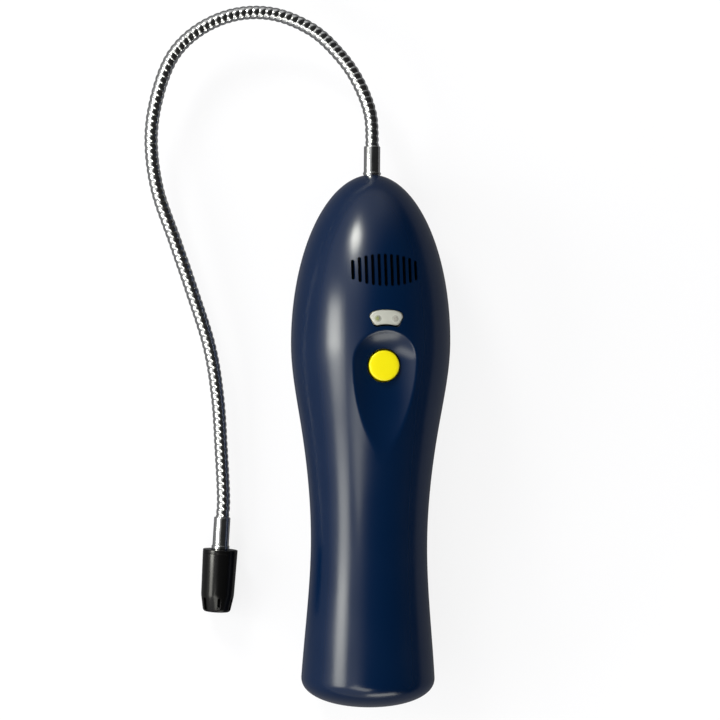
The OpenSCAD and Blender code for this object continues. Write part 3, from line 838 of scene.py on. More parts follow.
    @staticmethod
    def grid_faces(at: np.ndarray) -> list[list[int]]:
        """Faces of a grid of corner numbers, with triangles where the last row is one point.

        Args:
            at: Corner numbers, by ring and angle. Its last row becomes one point.

        Returns:
            Corner numbers of each face.
        """
        at[-1, :] = at[-1, 0]
        faces: list[list[int]] = []
        for i in range(at.shape[0] - 1):
            for j in range(at.shape[1] - 1):
                corners = (at[i, j], at[i, j + 1], at[i + 1, j + 1], at[i + 1, j])
                faces.append([int(c) for c in dict.fromkeys(corners)])
        return faces

    def shell(self, name: str, half: Half) -> Object:
        """One moulding as a closed wall.

        Args:
            name: Name of the object.
            half: Which moulding.

        Returns:
            The moulding, with no openings yet.
        """
        step = self.fine_step if half is Half.FRONT else self.coarse_step
        outer = self.skin(half, step, self.turns(half), 0)
        inner = self.skin(half, step, self.turns(half, self.inner_every), self.wall)
        rows, cols, thin = len(outer), outer.shape[1], inner.shape[1]
        out_at = np.arange(rows * cols).reshape(rows, cols)
        in_at = rows * cols + np.arange(rows * thin).reshape(rows, thin)
        faces = self.grid_faces(out_at) + self.grid_faces(in_at)
        for i in range(rows - 1):
            for side in (0, -1):
                corners = (out_at[i, side], out_at[i + 1, side], in_at[i + 1, side], in_at[i, side])
                faces.append([int(c) for c in corners])
        ratio = self.inner_every
        for j in range(thin - 1):
            arc = [int(c) for c in out_at[0, ratio * j:ratio * (j + 1) + 1]]
            faces.append(arc + [int(in_at[0, j + 1]), int(in_at[0, j])])
        return closed_mesh(name, np.concatenate([outer.reshape(-1, 3), inner.reshape(-1, 3)]), faces)

    def solid(self, name: str, half: Half, inset: float) -> Object:
        """One half of the form as a solid block.

        Args:
            name: Name of the object.
            half: Which half.
            inset: How far it is moved inwards.

        Returns:
            The closed solid.
        """
        grid = self.skin(half, self.coarse_step, self.turns(half), inset)
        rows, cols = grid.shape[:2]
        at = np.arange(rows * cols).reshape(rows, cols)
        faces = self.grid_faces(at)
        faces.append([int(c) for c in at[0]])
        for i in range(rows - 1):
            corners = (at[i, 0], at[i + 1, 0], at[i + 1, -1], at[i, -1])
            faces.append([int(c) for c in dict.fromkeys(corners)])
        return closed_mesh(name, grid.reshape(-1, 3), faces)

    def front_height(self, x: float, y: float) -> float:
        """Height of the front's surface over a place, away from the scoop."""
        r = float(self.radius(np.array([y]))[0])
        return self.axis_h + math.sqrt(r * r - x * x)


@dataclass(frozen=True)
class Grille:
    """Row of upright slots over the sounder, their lengths following an oval."""

    count: int = 11
    pitch: float = 2.4
    slot_w: float = 1.3
    oval_w: float = 30.4
    oval_l: float = 12.2
    y: float = 26.8
    cut_low: float = 36.0
    cut_high: float = 56.0
    peg_sides: int = 20

    def cutter(self) -> Object:
        """Makes the slots as solids, from round pegs stretched along the body.

        Returns:
            One object with all the slots.
        """
        shape = NodeShape("grille_slots", {
            "Slots": self.count, "Pitch": self.pitch, "Slot Width": self.slot_w,
            "Oval Width": self.oval_w, "Oval Length": self.oval_l})
        add = shape.add
        marks = {label: add("GeometryNodeInputNamedAttribute", {"Name": label}, data_type="FLOAT")
                 for label in ("end", "across")}
        here = add("ShaderNodeSeparateXYZ", {0: add("GeometryNodeInputPosition")})
        half_w = add("ShaderNodeMath", {0: shape["Slot Width"], 1: 0.5}, operation="MULTIPLY")
        peg = add("GeometryNodeMeshCylinder", {
            "Vertices": self.peg_sides, "Radius": half_w, "Depth": (self.cut_high - self.cut_low) * MM})
        turned = add("GeometryNodeTransform", {
            "Geometry": peg, "Rotation": (0, 0, math.pi / self.peg_sides)})
        side = add("ShaderNodeMath", {0: here.outputs["Y"]}, operation="SIGN")
        marked_peg = add("GeometryNodeStoreNamedAttribute", {
            "Geometry": turned, "Name": "end", "Value": side}, data_type="FLOAT", domain="POINT")
        steps = add("ShaderNodeMath", {0: shape["Slots"], 1: 1.0}, operation="SUBTRACT")
        whole = add("ShaderNodeMath", {0: steps, 1: shape["Pitch"]}, operation="MULTIPLY")
        first = add("ShaderNodeMath", {0: whole, 1: -0.5}, operation="MULTIPLY")
        row = add("GeometryNodeMeshLine", {
            "Count": shape["Slots"], "Start Location": add("ShaderNodeCombineXYZ", {0: first}),
            "Offset": add("ShaderNodeCombineXYZ", {0: shape["Pitch"]})}, mode="OFFSET")
        marked_row = add("GeometryNodeStoreNamedAttribute", {
            "Geometry": row, "Name": "across", "Value": here.outputs["X"]},
            data_type="FLOAT", domain="POINT")
        pegs = add("GeometryNodeInstanceOnPoints", {"Points": marked_row, "Instance": marked_peg})
        real = add("GeometryNodeRealizeInstances", {"Geometry": pegs})
        double = add("ShaderNodeMath", {0: marks["across"], 1: 2.0}, operation="MULTIPLY")
        part = add("ShaderNodeMath", {0: double, 1: shape["Oval Width"]}, operation="DIVIDE")
        square = add("ShaderNodeMath", {0: part, 1: part}, operation="MULTIPLY")
        rest = add("ShaderNodeMath", {0: 1.0, 1: square}, operation="SUBTRACT")
        room = add("ShaderNodeMath", {0: rest}, operation="SQRT")
        half_l = add("ShaderNodeMath", {0: shape["Oval Length"], 1: 0.5}, operation="MULTIPLY")
        half = add("ShaderNodeMath", {0: half_l, 1: room}, operation="MULTIPLY")
        reach = add("ShaderNodeMath", {0: half, 1: half_w}, operation="SUBTRACT")
        shift = add("ShaderNodeMath", {0: reach, 1: marks["end"]}, operation="MULTIPLY")
        pulled = add("GeometryNodeSetPosition", {
            "Geometry": real, "Offset": add("ShaderNodeCombineXYZ", {1: shift})})
        placed = add("GeometryNodeTransform", {
            "Geometry": pulled,
            "Translation": (0, self.y * MM, (self.cut_low + self.cut_high) / 2 * MM)})
        return shape.finish(placed, mesh_object("grille_cutter", [(0, 0, 0)], []))


@dataclass(frozen=True)
class Window:
    """Indicator window: its opening, its lens and the two lamps behind it."""

    width: float = 13.2
    back_w: float = 9.2
    length: float = 7.0
    y: float = 8.6
    arc: float = 2.9
    square: float = 0.8
    hollow: float = 0.7
    hollow_part: float = 0.8
    steps: int = 14
    corner: float = 1.5
    cut_high: float = 60.0
    gap: float = 0.18
    back_gap: float = 0.5
    sunk: float = 0.12
    edge_drop: float = 0.45
    edge_from: float = 0.8
    thickness: float = 3.0
    # Rings of the lens, as parts of the way to its edge, closest where it is rounded
    ring_parts: tuple[float, ...] = (0.25, 0.5, 0.7, 0.82, 0.9, 0.95, 0.98, 1.0)
    led_r: float = 1.5
    led_flange_r: float = 1.9
    led_flange_h: float = 0.8
    led_spread: float = 6.6
    led_base: float = 41.926
    led_h: float = 5.5
    led_sides: int = 32
    dome_steps: int = 10

    def outline(self, grow: float, shorten: float = 0.0) -> list[Flat]:
        """Edge of the window in plan: a round front, a bowed back and two slanted sides.

        Args:
            grow: How far it is moved outwards.
            shorten: How far the edge at the scoop is moved in.

        Returns:
            Points round the window.
        """
        front = self.y + self.length / 2 + grow
        back = self.y - self.length / 2 - grow + shorten
        wide, low = self.width / 2 + grow, self.back_w / 2 + grow
        edge = [(wide * math.copysign(abs(math.sin(a)) ** self.square, a),
                 front - self.arc * (1 - abs(math.cos(a)) ** self.square))
                for a in np.linspace(-math.pi / 2, math.pi / 2, 2 * self.steps + 1)]
        under = [(low * t, back + self.hollow * (1 - t * t))
                 for t in np.linspace(self.hollow_part, -self.hollow_part, self.steps + 1)]
        bends = (0.0, self.corner, 0.0)
        right = rounded([edge[-1], (low, back), under[0]], bends)[1:-1]
        left = rounded([under[-1], (-low, back), edge[0]], bends)[1:-1]
        return edge + right + under + left

    def cutter(self) -> Object:
        """Opening in the front moulding."""
        return prism("window_cutter", self.outline(0), self.led_base, self.cut_high)

    def lens(self, form: HousingForm) -> Object:
        """Lens that follows the housing's curve, with a rounded edge.

        Args:
            form: Housing that it sits in.

        Returns:
            The closed lens.
        """
        edge = self.outline(-self.gap, self.back_gap)
        n = len(edge)
        points: list[Point] = []
        for part in self.ring_parts:
            drop = self.edge_drop * max(0.0, (part - self.edge_from) / (1 - self.edge_from)) ** 3
            for edge_x, edge_y in edge:
                x, y = part * edge_x, self.y + part * (edge_y - self.y)
                points.append((x, y, form.front_height(x, y) - self.sunk - drop))
        points += [(x, y, form.front_height(x, y) - self.thickness) for x, y in edge]
        rings = [list(range(start, start + n)) for start in range(0, len(points), n)]
        top = len(points)
        points.append((0.0, self.y, form.front_height(0.0, self.y) - self.sunk))
        faces = [[top, rings[0][k], rings[0][(k + 1) % n]] for k in range(n)]
        for low, high in zip(rings, rings[1:]):
            faces += [[low[k], high[k], high[(k + 1) % n], low[(k + 1) % n]] for k in range(n)]
        faces.append(list(reversed(rings[-1])))
        return smooth(closed_mesh("window_lens", points, faces))

    def lamp(self, name: str, x: float) -> Object:
        """One lamp: a flange, a round body and a domed top.

        Args:
            name: Name of the object.
            x: Its place across.

        Returns:
            The closed lamp.
        """
        foot = [(0.0, 0.0), (self.led_flange_r, 0.0), (self.led_flange_r, self.led_flange_h),
                (self.led_r, self.led_flange_h)]
        dome = [(self.led_r * math.cos(a), self.led_h - self.led_r + self.led_r * math.sin(a))
                for a in np.linspace(0, math.pi / 2, self.dome_steps)[:-1]]
        profile = foot + dome + [(0.0, self.led_h)]
        return smooth(revolve(name, profile, upright(x, self.y, self.led_base), self.led_sides))

    def build(self, form: HousingForm) -> None:
        """Makes and dresses the lens and the two lamps.

        Args:
            form: Housing that they sit in.
        """
        off = self.led_spread / 2
        # Acrylic: clear, milky from its frosted inside
        clear = ClearPlastic("acrylic_clear_frosted", "#cdcec8", roughness=0.25, transmission=0.25,
                             spots_mm=((-off, self.y), (off, self.y))).build()
        dress(self.lens(form), clear, Body.HANDLE, ["indicator_window"])
        top = self.led_base + self.led_h
        # Lamp epoxy: one tinted yellow-green, one water clear, both faintly lit from inside
        green = LampEpoxy("epoxy_yellow_green", "#c4d030", glow=0.6, top_mm=top,
                          height_mm=self.led_h).build()
        dress(self.lamp("status_lamp", -off), green, Body.HANDLE, ["status_led"])
        pale = LampEpoxy("epoxy_water_clear", "#e4dfda", glow=0.75, top_mm=top,
                         height_mm=self.led_h).build()
        dress(self.lamp("alarm_lamp", off), pale, Body.HANDLE, ["alarm_led"])


@dataclass(frozen=True)
class Button:
    """Thumb button: a crowned cap with a rounded rim, and the flange that holds it in."""

    y: float = -8.9
    cap_r: float = 5.7
    hole_r: float = 6.4
    cut_low: float = 36.0
    cut_high: float = 60.0
    rim_z: float = 47.156
    crown: float = 0.7
    rim_power: float = 0.5
    crown_power: float = 0.6
    crown_steps: int = 18
    flange_z: float = 42.863
    flange_t: float = 1.2
    flange_r: float = 7.1
    stem_r: float = 2.1
    stem_l: float = 0.8
    sides: int = 72
    crease: float = 50.0

    def cutter(self) -> Object:
        """Hole in the scoop's floor."""
        profile = [(0.0, self.cut_low), (self.hole_r, self.cut_low), (self.hole_r, self.cut_high),
                   (0.0, self.cut_high)]
        return revolve("button_cutter", profile, upright(0, self.y), self.sides)

    def cap(self) -> Object:
        """The cap with its flange and stem.

        Returns:
            The closed cap.
        """
        under = self.flange_z - self.flange_t
        foot = under - self.stem_l
        profile = [(0.0, foot), (self.stem_r, foot), (self.stem_r, under), (self.flange_r, under),
                   (self.flange_r, self.flange_z), (self.cap_r, self.flange_z)]
        for a in np.linspace(0, math.pi / 2, self.crown_steps)[:-1]:
            profile.append((self.cap_r * math.cos(a) ** self.rim_power,
                            self.rim_z + self.crown * math.sin(a) ** self.crown_power))
        profile.append((0.0, self.rim_z + self.crown))
        return smooth(revolve("button_cap_yellow", profile, upright(0, self.y), self.sides), self.crease)

    def build(self) -> None:
        """Makes and dresses the cap."""
        # Gloss ABS in signal yellow: an even, bright colour with a soft shine
        yellow = MouldedPlastic("abs_yellow_gloss", "#ecde10", roughness=0.3, mottle=0.02).build()
        dress(self.cap(), yellow, Body.BUTTON, ["button_cap"])


@dataclass(frozen=True)
class BatteryDoor:
    """Battery door in the back, the bay behind it and the ledge that it lies on."""

    half_w: float = 17.1
    front: float = -24.0
    back: float = -119.0
    corner: float = 4.0
    corner_steps: int = 8
    thickness: float = 1.2
    gap: float = 0.35
    seat_gap: float = 0.1
    ledge_w: float = 1.6
    bay_half: float = 15.15
    bay_front: float = -16.0
    bay_back: float = -124.0
    bay_floor: float = 0.2
    bay_roof: float = 18.8
    bay_wall: float = 1.2
    column_low: float = -1.0
    column_top: float = 18.0
    grooves: int = 5
    groove_pitch: float = 2.0
    groove_r: float = 0.75
    groove_l: float = 14.0
    groove_sunk: float = 0.35
    groove_from_end: float = 8.0
    groove_sides: int = 20
    crease: float = 30.0

    def column(self, name: str, grow: float) -> Object:
        """Round-cornered column through the door's outline.

        Args:
            name: Name of the object.
            grow: How far the outline is moved outwards.

        Returns:
            The closed column.
        """
        r = self.corner + grow
        outline: list[Flat] = []
        for side, ahead, start in ((1, True, 0), (-1, True, 90), (-1, False, 180), (1, False, 270)):
            x = side * (self.half_w - self.corner)
            y = self.front - self.corner if ahead else self.back + self.corner
            for k in range(self.corner_steps + 1):
                a = math.radians(start + 90 * k / self.corner_steps)
                outline.append((x + r * math.cos(a), y + r * math.sin(a)))
        return prism(name, outline, self.column_low, self.column_top)

    def bay_block(self, name: str, form: HousingForm, wall: float, inset: float) -> Object:
        """Block about the cells, kept inside the rear moulding.

        Args:
            name: Name of the object.
            form: Housing that it is in.
            wall: How far it reaches past the room for the cells.
            inset: How far it stays inside the housing's outer skin.

        Returns:
            The closed block.
        """
        block = box(name, (-self.bay_half - wall, self.bay_back - wall, self.bay_floor),
                    (self.bay_half + wall, self.bay_front + wall, self.bay_roof + wall))
        return combine(block, form.solid("bay_limit", Half.REAR, inset), Cut.COMMON)

    def bay(self, form: HousingForm) -> Object:
        """Outside of the bay's own walls, as a solid that joins the rear moulding."""
        return self.bay_block("bay_walls", form, self.bay_wall, form.wall / 2)

    def bay_space(self, form: HousingForm) -> Object:
        """Room for the cells inside the bay."""
        return self.bay_block("bay_space", form, 0.0, form.wall)

    def recess(self, form: HousingForm) -> Object:
        """Seat of the door in the back, a little deeper than the door is thick."""
        limit = form.solid("door_seat_limit", Half.REAR, self.thickness + self.seat_gap)
        return combine(self.column("door_seat", self.gap), limit, Cut.AWAY)

    def grip(self) -> Object:
        """Makes the finger grooves near the door's front end as round bars.

        Returns:
            One object with all the bars.
        """
        shape = NodeShape("door_grip", {
            "Grooves": self.grooves, "Pitch": self.groove_pitch, "Radius": self.groove_r,
            "Length": self.groove_l})
        bar = shape.add("GeometryNodeMeshCylinder", {
            "Vertices": self.groove_sides, "Radius": shape["Radius"], "Depth": shape["Length"]})
        lying = shape.add("GeometryNodeTransform", {"Geometry": bar, "Rotation": (0, math.pi / 2, 0)})
        back = shape.add("ShaderNodeMath", {0: shape["Pitch"], 1: -1.0}, operation="MULTIPLY")
        start = (0, (self.front - self.groove_from_end) * MM, -self.groove_sunk * MM)
        row = shape.add("GeometryNodeMeshLine", {
            "Count": shape["Grooves"], "Start Location": start,
            "Offset": shape.add("ShaderNodeCombineXYZ", {1: back})}, mode="OFFSET")
        bars = shape.add("GeometryNodeInstanceOnPoints", {"Points": row, "Instance": lying})
        return shape.finish(bars, mesh_object("door_grip_cutter", [(0, 0, 0)], []))

    def panel(self, form: HousingForm) -> Object:
        """The door: a panel cut from the housing's own skin, with its grooves.

        Args:
            form: Housing that it closes.

        Returns:
            The closed door.
        """
        door = form.solid("battery_door_panel", Half.REAR, 0)
        combine(door, form.solid("door_inside", Half.REAR, self.thickness), Cut.AWAY)
        combine(door, self.column("door_outline", 0), Cut.COMMON)
        combine(door, self.grip(), Cut.AWAY)
        return smooth(door, self.crease)

    def build(self, form: HousingForm, finish: Material) -> None:
        """Makes and dresses the door."""
        dress(self.panel(form), finish, Body.DOOR, ["battery_door"])


@dataclass(frozen=True)
class HousingScrews:
    """Four cross-recess screws that hold the two mouldings together, sunk in the back."""

    places: tuple[Flat, ...] = ((-18.5, 2.0), (18.5, 2.0), (-10.0, -130.5), (10.0, -130.5))
    seat: float = 12.0
    head_r: float = 2.7
    head_h: float = 2.0
    shank_r: float = 1.5
    shank_l: float = 16.0
    shank_gap: float = 0.1
    hole_r: float = 3.0
    drill_over: float = 1.0
    post_r: float = 4.2
    post_low: float = 0.2
    recess_w: float = 0.8
    recess_h: float = 1.2
    recess_reach: float = 1.2
    sides: int = 32
    shank_sides: int = 24
    crease: float = 30.0

    def posts(self, form: HousingForm) -> Object:
        """Posts round the screws inside the rear moulding, as one solid.

        Args:
            form: Housing that they are in.

        Returns:
            The closed solid.
        """
        turns = [2 * math.pi * k / self.sides for k in range(self.sides)]
        round_post = [(self.post_r * math.cos(a), self.post_r * math.sin(a)) for a in turns]
        posts: Object | None = None
        for x, y in self.places:
            outline = [(x + px, y + py) for px, py in round_post]
            post = prism("screw_posts", outline, self.post_low, form.axis_h)
            posts = post if posts is None else combine(posts, post, Cut.JOIN)
        return combine(posts, form.solid("post_limit", Half.REAR, form.wall / 2), Cut.COMMON)

    def drills(self, form: HousingForm) -> list[Object]:
        """Holes for the screws, wide as far as the seat.

        Args:
            form: Housing that they go through.

        Returns:
            One solid for each screw.
        """
        narrow, low, high = self.shank_r + self.shank_gap, -self.drill_over, form.axis_h + self.drill_over
        profile = [(0.0, low), (self.hole_r, low), (self.hole_r, self.seat), (narrow, self.seat),
                   (narrow, high), (0.0, high)]
        return [revolve("screw_drill", profile, upright(x, y), self.sides) for x, y in self.places]

    def screws(self, finish: Material) -> Object:
        """Makes one screw and sets it at each place.

        Args:
            finish: Material of the screws.

        Returns:
            The screws as one mesh.
        """
        shape = NodeShape("housing_screw_set", {
            "Head Radius": self.head_r, "Head Height": self.head_h, "Shank Radius": self.shank_r,
            "Shank Length": self.shank_l, "Recess Width": self.recess_w, "Recess Depth": self.recess_h})
        add = shape.add
        head = add("GeometryNodeMeshCylinder", {
            "Vertices": self.sides, "Radius": shape["Head Radius"], "Depth": shape["Head Height"]})
        reach = add("ShaderNodeMath", {
            0: shape["Head Radius"], 1: self.recess_reach}, operation="MULTIPLY")
        depth = add("ShaderNodeMath", {0: shape["Recess Depth"], 1: 2.0}, operation="MULTIPLY")
        size = add("ShaderNodeCombineXYZ", {0: reach, 1: shape["Recess Width"], 2: depth})
        blade = add("GeometryNodeMeshCube", {"Size": size})
        turned = add("GeometryNodeTransform", {"Geometry": blade, "Rotation": (0, 0, math.pi / 2)})
        cross = add("GeometryNodeMeshBoolean", {"Mesh 2": [turned, blade]}, operation="UNION")
        low = add("ShaderNodeMath", {0: shape["Head Height"], 1: -0.5}, operation="MULTIPLY")
        down = add("ShaderNodeCombineXYZ", {2: low})
        sunk = add("GeometryNodeTransform", {"Geometry": cross, "Translation": down})
        recessed = add("GeometryNodeMeshBoolean", {
            "Mesh 1": head, "Mesh 2": sunk}, operation="DIFFERENCE")
        seated = add("GeometryNodeTransform", {"Geometry": recessed, "Translation": down})
        shank = add("GeometryNodeMeshCylinder", {
            "Vertices": self.shank_sides, "Radius": shape["Shank Radius"],
            "Depth": shape["Shank Length"]})
        rise = add("ShaderNodeMath", {0: shape["Shank Length"], 1: 0.5}, operation="MULTIPLY")
        raised = add("GeometryNodeTransform", {
            "Geometry": shank, "Translation": add("ShaderNodeCombineXYZ", {2: rise})})
        screw = add("GeometryNodeJoinGeometry", {"Geometry": [seated, raised]})
        copies = add("GeometryNodeInstanceOnPoints", {"Points": shape["Geometry"], "Instance": screw})
        base = mesh_object("housing_screw_set", [(x, y, self.seat) for x, y in self.places], [])
        return smooth(shape.finish(copies, base, finish), self.crease)

    def build(self, finish: Material) -> None:
        """Makes and dresses the screws."""
        dress(self.screws(finish), finish, Body.HANDLE, ["housing_screws"])


# Probe


@dataclass(frozen=True)
class Ferrules:
    """The two metal ferrules that grip the neck, at the nose and at the tip."""

    outer_r: float = 3.15
    bore_r: float = 2.68
    wire_r: float = 1.7
    lip_r: float = 3.45
    nose_back: float = 46.0
    nose_lip: float = 64.55
    nose_lip_l: float = 0.8
    nose_end: float = 75.4
    flange_r: float = 5.0
    flange_at: float = 52.1
    flange_l: float = 2.0
    seat: float = 8.75
    tip_l: float = 12.4
    tip_lip_l: float = 1.5
    spigot_r: float = 2.6
    spigot_l: float = 5.0
    lip_edge: float = 0.25
    end_edge: float = 0.3
    mouth_edge: float = 0.15
    sides: int = 48

    def nose(self, form: HousingForm) -> Object:
        """Nose ferrule, with the flange that the housing holds.

        Args:
            form: Housing that it sticks out of.

        Returns:
            The closed ferrule.
        """
        r, lip_end, inside = self.outer_r, self.nose_lip + self.nose_lip_l, self.nose_end - self.seat
        flange_end = self.flange_at + self.flange_l
        profile = [
            (self.wire_r, self.nose_back), (r, self.nose_back), (r, self.flange_at),
            (self.flange_r, self.flange_at), (self.flange_r, flange_end), (r, flange_end),
            (r, self.nose_lip), (self.lip_r, self.nose_lip), (self.lip_r, lip_end), (r, lip_end),
            (r, self.nose_end), (self.bore_r, self.nose_end), (self.bore_r, inside), (self.wire_r, inside)]
        radii = [0.0] * 8 + [self.lip_edge, 0.0, self.end_edge, self.mouth_edge, 0.0, 0.0]
        place = along_y(0, 0, form.axis_h, 1)
        return smooth(revolve("nose_ferrule_plated", rounded(profile, radii), place, self.sides))

    def tip(self, place: Matrix) -> Object:
        """Tip ferrule, with the spigot that the sensor socket sits on.

        Args:
            place: Axis of the tip.

        Returns:
            The closed ferrule.
        """
        lip, spigot = self.tip_l - self.tip_lip_l, self.tip_l + self.spigot_l
        profile = [
            (self.bore_r, 0.0), (self.outer_r, 0.0), (self.outer_r, lip), (self.lip_r, lip),
            (self.lip_r, self.tip_l), (self.spigot_r, self.tip_l), (self.spigot_r, spigot),
            (self.wire_r, spigot), (self.wire_r, self.seat), (self.bore_r, self.seat)]
        radii = [self.mouth_edge, self.end_edge, 0.0, self.lip_edge, self.lip_edge] + [0.0] * 5
        return smooth(revolve("tip_ferrule_plated", rounded(profile, radii), place, self.sides))

    def build(self, form: HousingForm, tip_place: Matrix, finish: Material) -> None:
        """Makes and dresses the two ferrules."""
        dress(self.nose(form), finish, Body.HANDLE, ["neck_ferrule"])
        dress(self.tip(tip_place), finish, Body.TIP, ["tip_ferrule"])


@dataclass(frozen=True)
class Gooseneck:
    """Bendable wound neck: a helix of ridges along a loop to the left and back beside the grip."""

    loop_w: float = 84.5
    loop_l: float = 58.5
    loop_back: float = 143.5
    root_y: float = 66.7
    root_h: float = 21.0
    end_h: float = 6.95
    outer_r: float = 2.6
    groove: float = 0.3
    pitch: float = 2.5
    sides: int = 24
    step: float = 0.16
    span_steps: int = 40
    bend: float = 11.0
    crease: float = 75.0
    bodies: tuple[Body, ...] = (
        Body.HANDLE, Body.LINK_2, Body.LINK_3, Body.LINK_4, Body.LINK_5, Body.LINK_6, Body.TIP)
    # Route in plan, in parts of the loop's three reaches
    plan: tuple[Flat, ...] = (
        (0, 0), (0, 0.1709), (-0.0116, 0.3747), (-0.0718, 0.5855), (-0.1587, 0.7552),
        (-0.2788, 0.9056), (-0.4503, 1), (-0.6272, 0.9915), (-0.791, 0.8848), (-0.9093, 0.7077),
        (-0.9763, 0.4444), (-1, 0.1624), (-0.969, -0.0633), (-0.8844, -0.2014), (-0.8064, -0.3291),
        (-0.7208, -0.4808), (-0.6791, -0.6202), (-0.6602, -0.7596), (-0.6473, -0.888),
        (-0.6525, -0.944), (-0.6577, -1))

    def route(self) -> tuple[np.ndarray, np.ndarray]:
        """Smooth curve through the route's points, lowered gently towards the tip.

        Returns:
            Points of the curve, and the length along it at each one.
        """
        plan = np.array([(x * self.loop_w, y * (self.loop_l if y > 0 else self.loop_back))
                         for x, y in self.plan])
        last = len(plan) - 1
        curve = []
        for i in range(last):
            a, b, c, d = plan[max(i - 1, 0)], plan[i], plan[i + 1], plan[min(i + 2, last)]
            for t in np.linspace(0, 1, self.span_steps, endpoint=False):
                curve.append(0.5 * (2 * b + (c - a) * t + (2 * a - 5 * b + 4 * c - d) * t**2
                                    + (3 * b - a - 3 * c + d) * t**3))
        curve = np.array(curve + [plan[last]])
        run = np.concatenate([[0], np.cumsum(np.linalg.norm(np.diff(curve, axis=0), axis=1))])
        part = run / run[-1]
        height = self.root_h + (self.end_h - self.root_h) * part**2 * (3 - 2 * part)
        return np.column_stack([curve[:, 0], self.root_y + curve[:, 1], height]), run

    def points(self, at: np.ndarray) -> np.ndarray:
        """Points of the neck's middle line at lengths along it."""
        route, run = self.route()
        return np.column_stack([np.interp(at, run, route[:, k]) for k in range(3)])

    def wound(self, name: str, start: float, end: float, finish: Material) -> Object:
        """One stretch of the neck, with its helix of ridges.

        Args:
            name: Name of the object.
            start: Length along the neck where it starts.
            end: Length along the neck where it ends.
            finish: Material of the neck.

        Returns:
            The closed stretch.
        """
        at = np.linspace(start, end, max(2, round((end - start) / self.step)))
        line = mesh_object(name, self.points(at), [], [(k, k + 1) for k in range(len(at) - 1)])
        shape = NodeShape(name, {
            "Radius": self.outer_r, "Groove": self.groove, "Pitch": self.pitch, "Start": start,
            "Sides": self.sides})
        add = shape.add
        kinds = {"run": "FLOAT", "middle": "FLOAT_VECTOR", "turn": "FLOAT"}
        here = add("GeometryNodeInputPosition")
        along = add("GeometryNodeSplineParameter").outputs["Length"]
        run = add("ShaderNodeMath", {0: along, 1: shape["Start"]}, operation="ADD")
        turn = add("ShaderNodeMath", {
            0: add("GeometryNodeInputIndex"), 1: shape["Sides"]}, operation="DIVIDE")
        curve = add("GeometryNodeMeshToCurve", {"Mesh": shape["Geometry"]})
        middle = add("GeometryNodeSetCurveNormal", {"Curve": curve}, mode="Z_UP")
        ring = add("GeometryNodeCurvePrimitiveCircle", {
            "Resolution": shape["Sides"], "Radius": shape["Radius"]})
        marked = []
        for geometry, values in ((middle, {"run": run, "middle": here}), (ring, {"turn": turn})):
            for label, value in values.items():
                geometry = add("GeometryNodeStoreNamedAttribute", {
                    "Geometry": geometry, "Name": label, "Value": value},
                    data_type=kinds[label], domain="POINT")
            marked.append(geometry)
        tube = add("GeometryNodeCurveToMesh", {
            "Curve": marked[0], "Profile Curve": marked[1], "Fill Caps": True})
        marks = {label: add("GeometryNodeInputNamedAttribute", {"Name": label}, data_type=kind)
                 for label, kind in kinds.items()}
        turns = add("ShaderNodeMath", {0: marks["run"], 1: shape["Pitch"]}, operation="DIVIDE")
        helix = add("ShaderNodeMath", {0: turns, 1: marks["turn"]}, operation="ADD")
        phase = add("ShaderNodeMath", {0: helix}, operation="FRACT")
        off = add("ShaderNodeMath", {0: phase, 1: 2.0, 2: -1.0}, operation="MULTIPLY_ADD")
        square = add("ShaderNodeMath", {0: off, 1: off}, operation="MULTIPLY")
        sunk = add("ShaderNodeMath", {0: shape["Groove"], 1: square}, operation="MULTIPLY")
        part = add("ShaderNodeMath", {0: sunk, 1: shape["Radius"]}, operation="DIVIDE")
        scale = add("ShaderNodeMath", {0: 1.0, 1: part}, operation="SUBTRACT")
        spoke = add("ShaderNodeVectorMath", {0: here, 1: marks["middle"]}, operation="SUBTRACT")
        shorter = add("ShaderNodeVectorMath", {0: spoke, "Scale": scale}, operation="SCALE")
        surface = add("ShaderNodeVectorMath", {0: marks["middle"], 1: shorter}, operation="ADD")
        ridged = add("GeometryNodeSetPosition", {"Geometry": tube, "Position": surface})
        return smooth(shape.finish(ridged, line, finish), self.crease)

    def build(self, finish: Material) -> None:
        """Builds and dresses the neck: its root on the handle, its end on the tip, and between them
        unattached stretches that each span one hinge.

        Args:
            finish: Material of the neck.
        """
        whole = float(self.route()[1][-1])
        part = whole / len(self.bodies)
        root = self.wound("neck_root", 0.0, part / 2, finish)
        dress(root, finish, Body.HANDLE, ["neck_1"])
        for k, (near, far) in enumerate(zip(self.bodies, self.bodies[1:]), start=1):
            stretch = self.wound(f"neck_bend_{k}", part * (k - 0.5), part * (k + 0.5), finish)
            start, end = self.points(np.array([part * k - self.bend, part * k + self.bend])) * MM
            dress(stretch, finish, near, [f"neck_{k + 1}"], Bend(far, tuple(start), tuple(end)))
        dress(self.wound("neck_end", whole - part / 2, whole, finish), finish, Body.TIP)


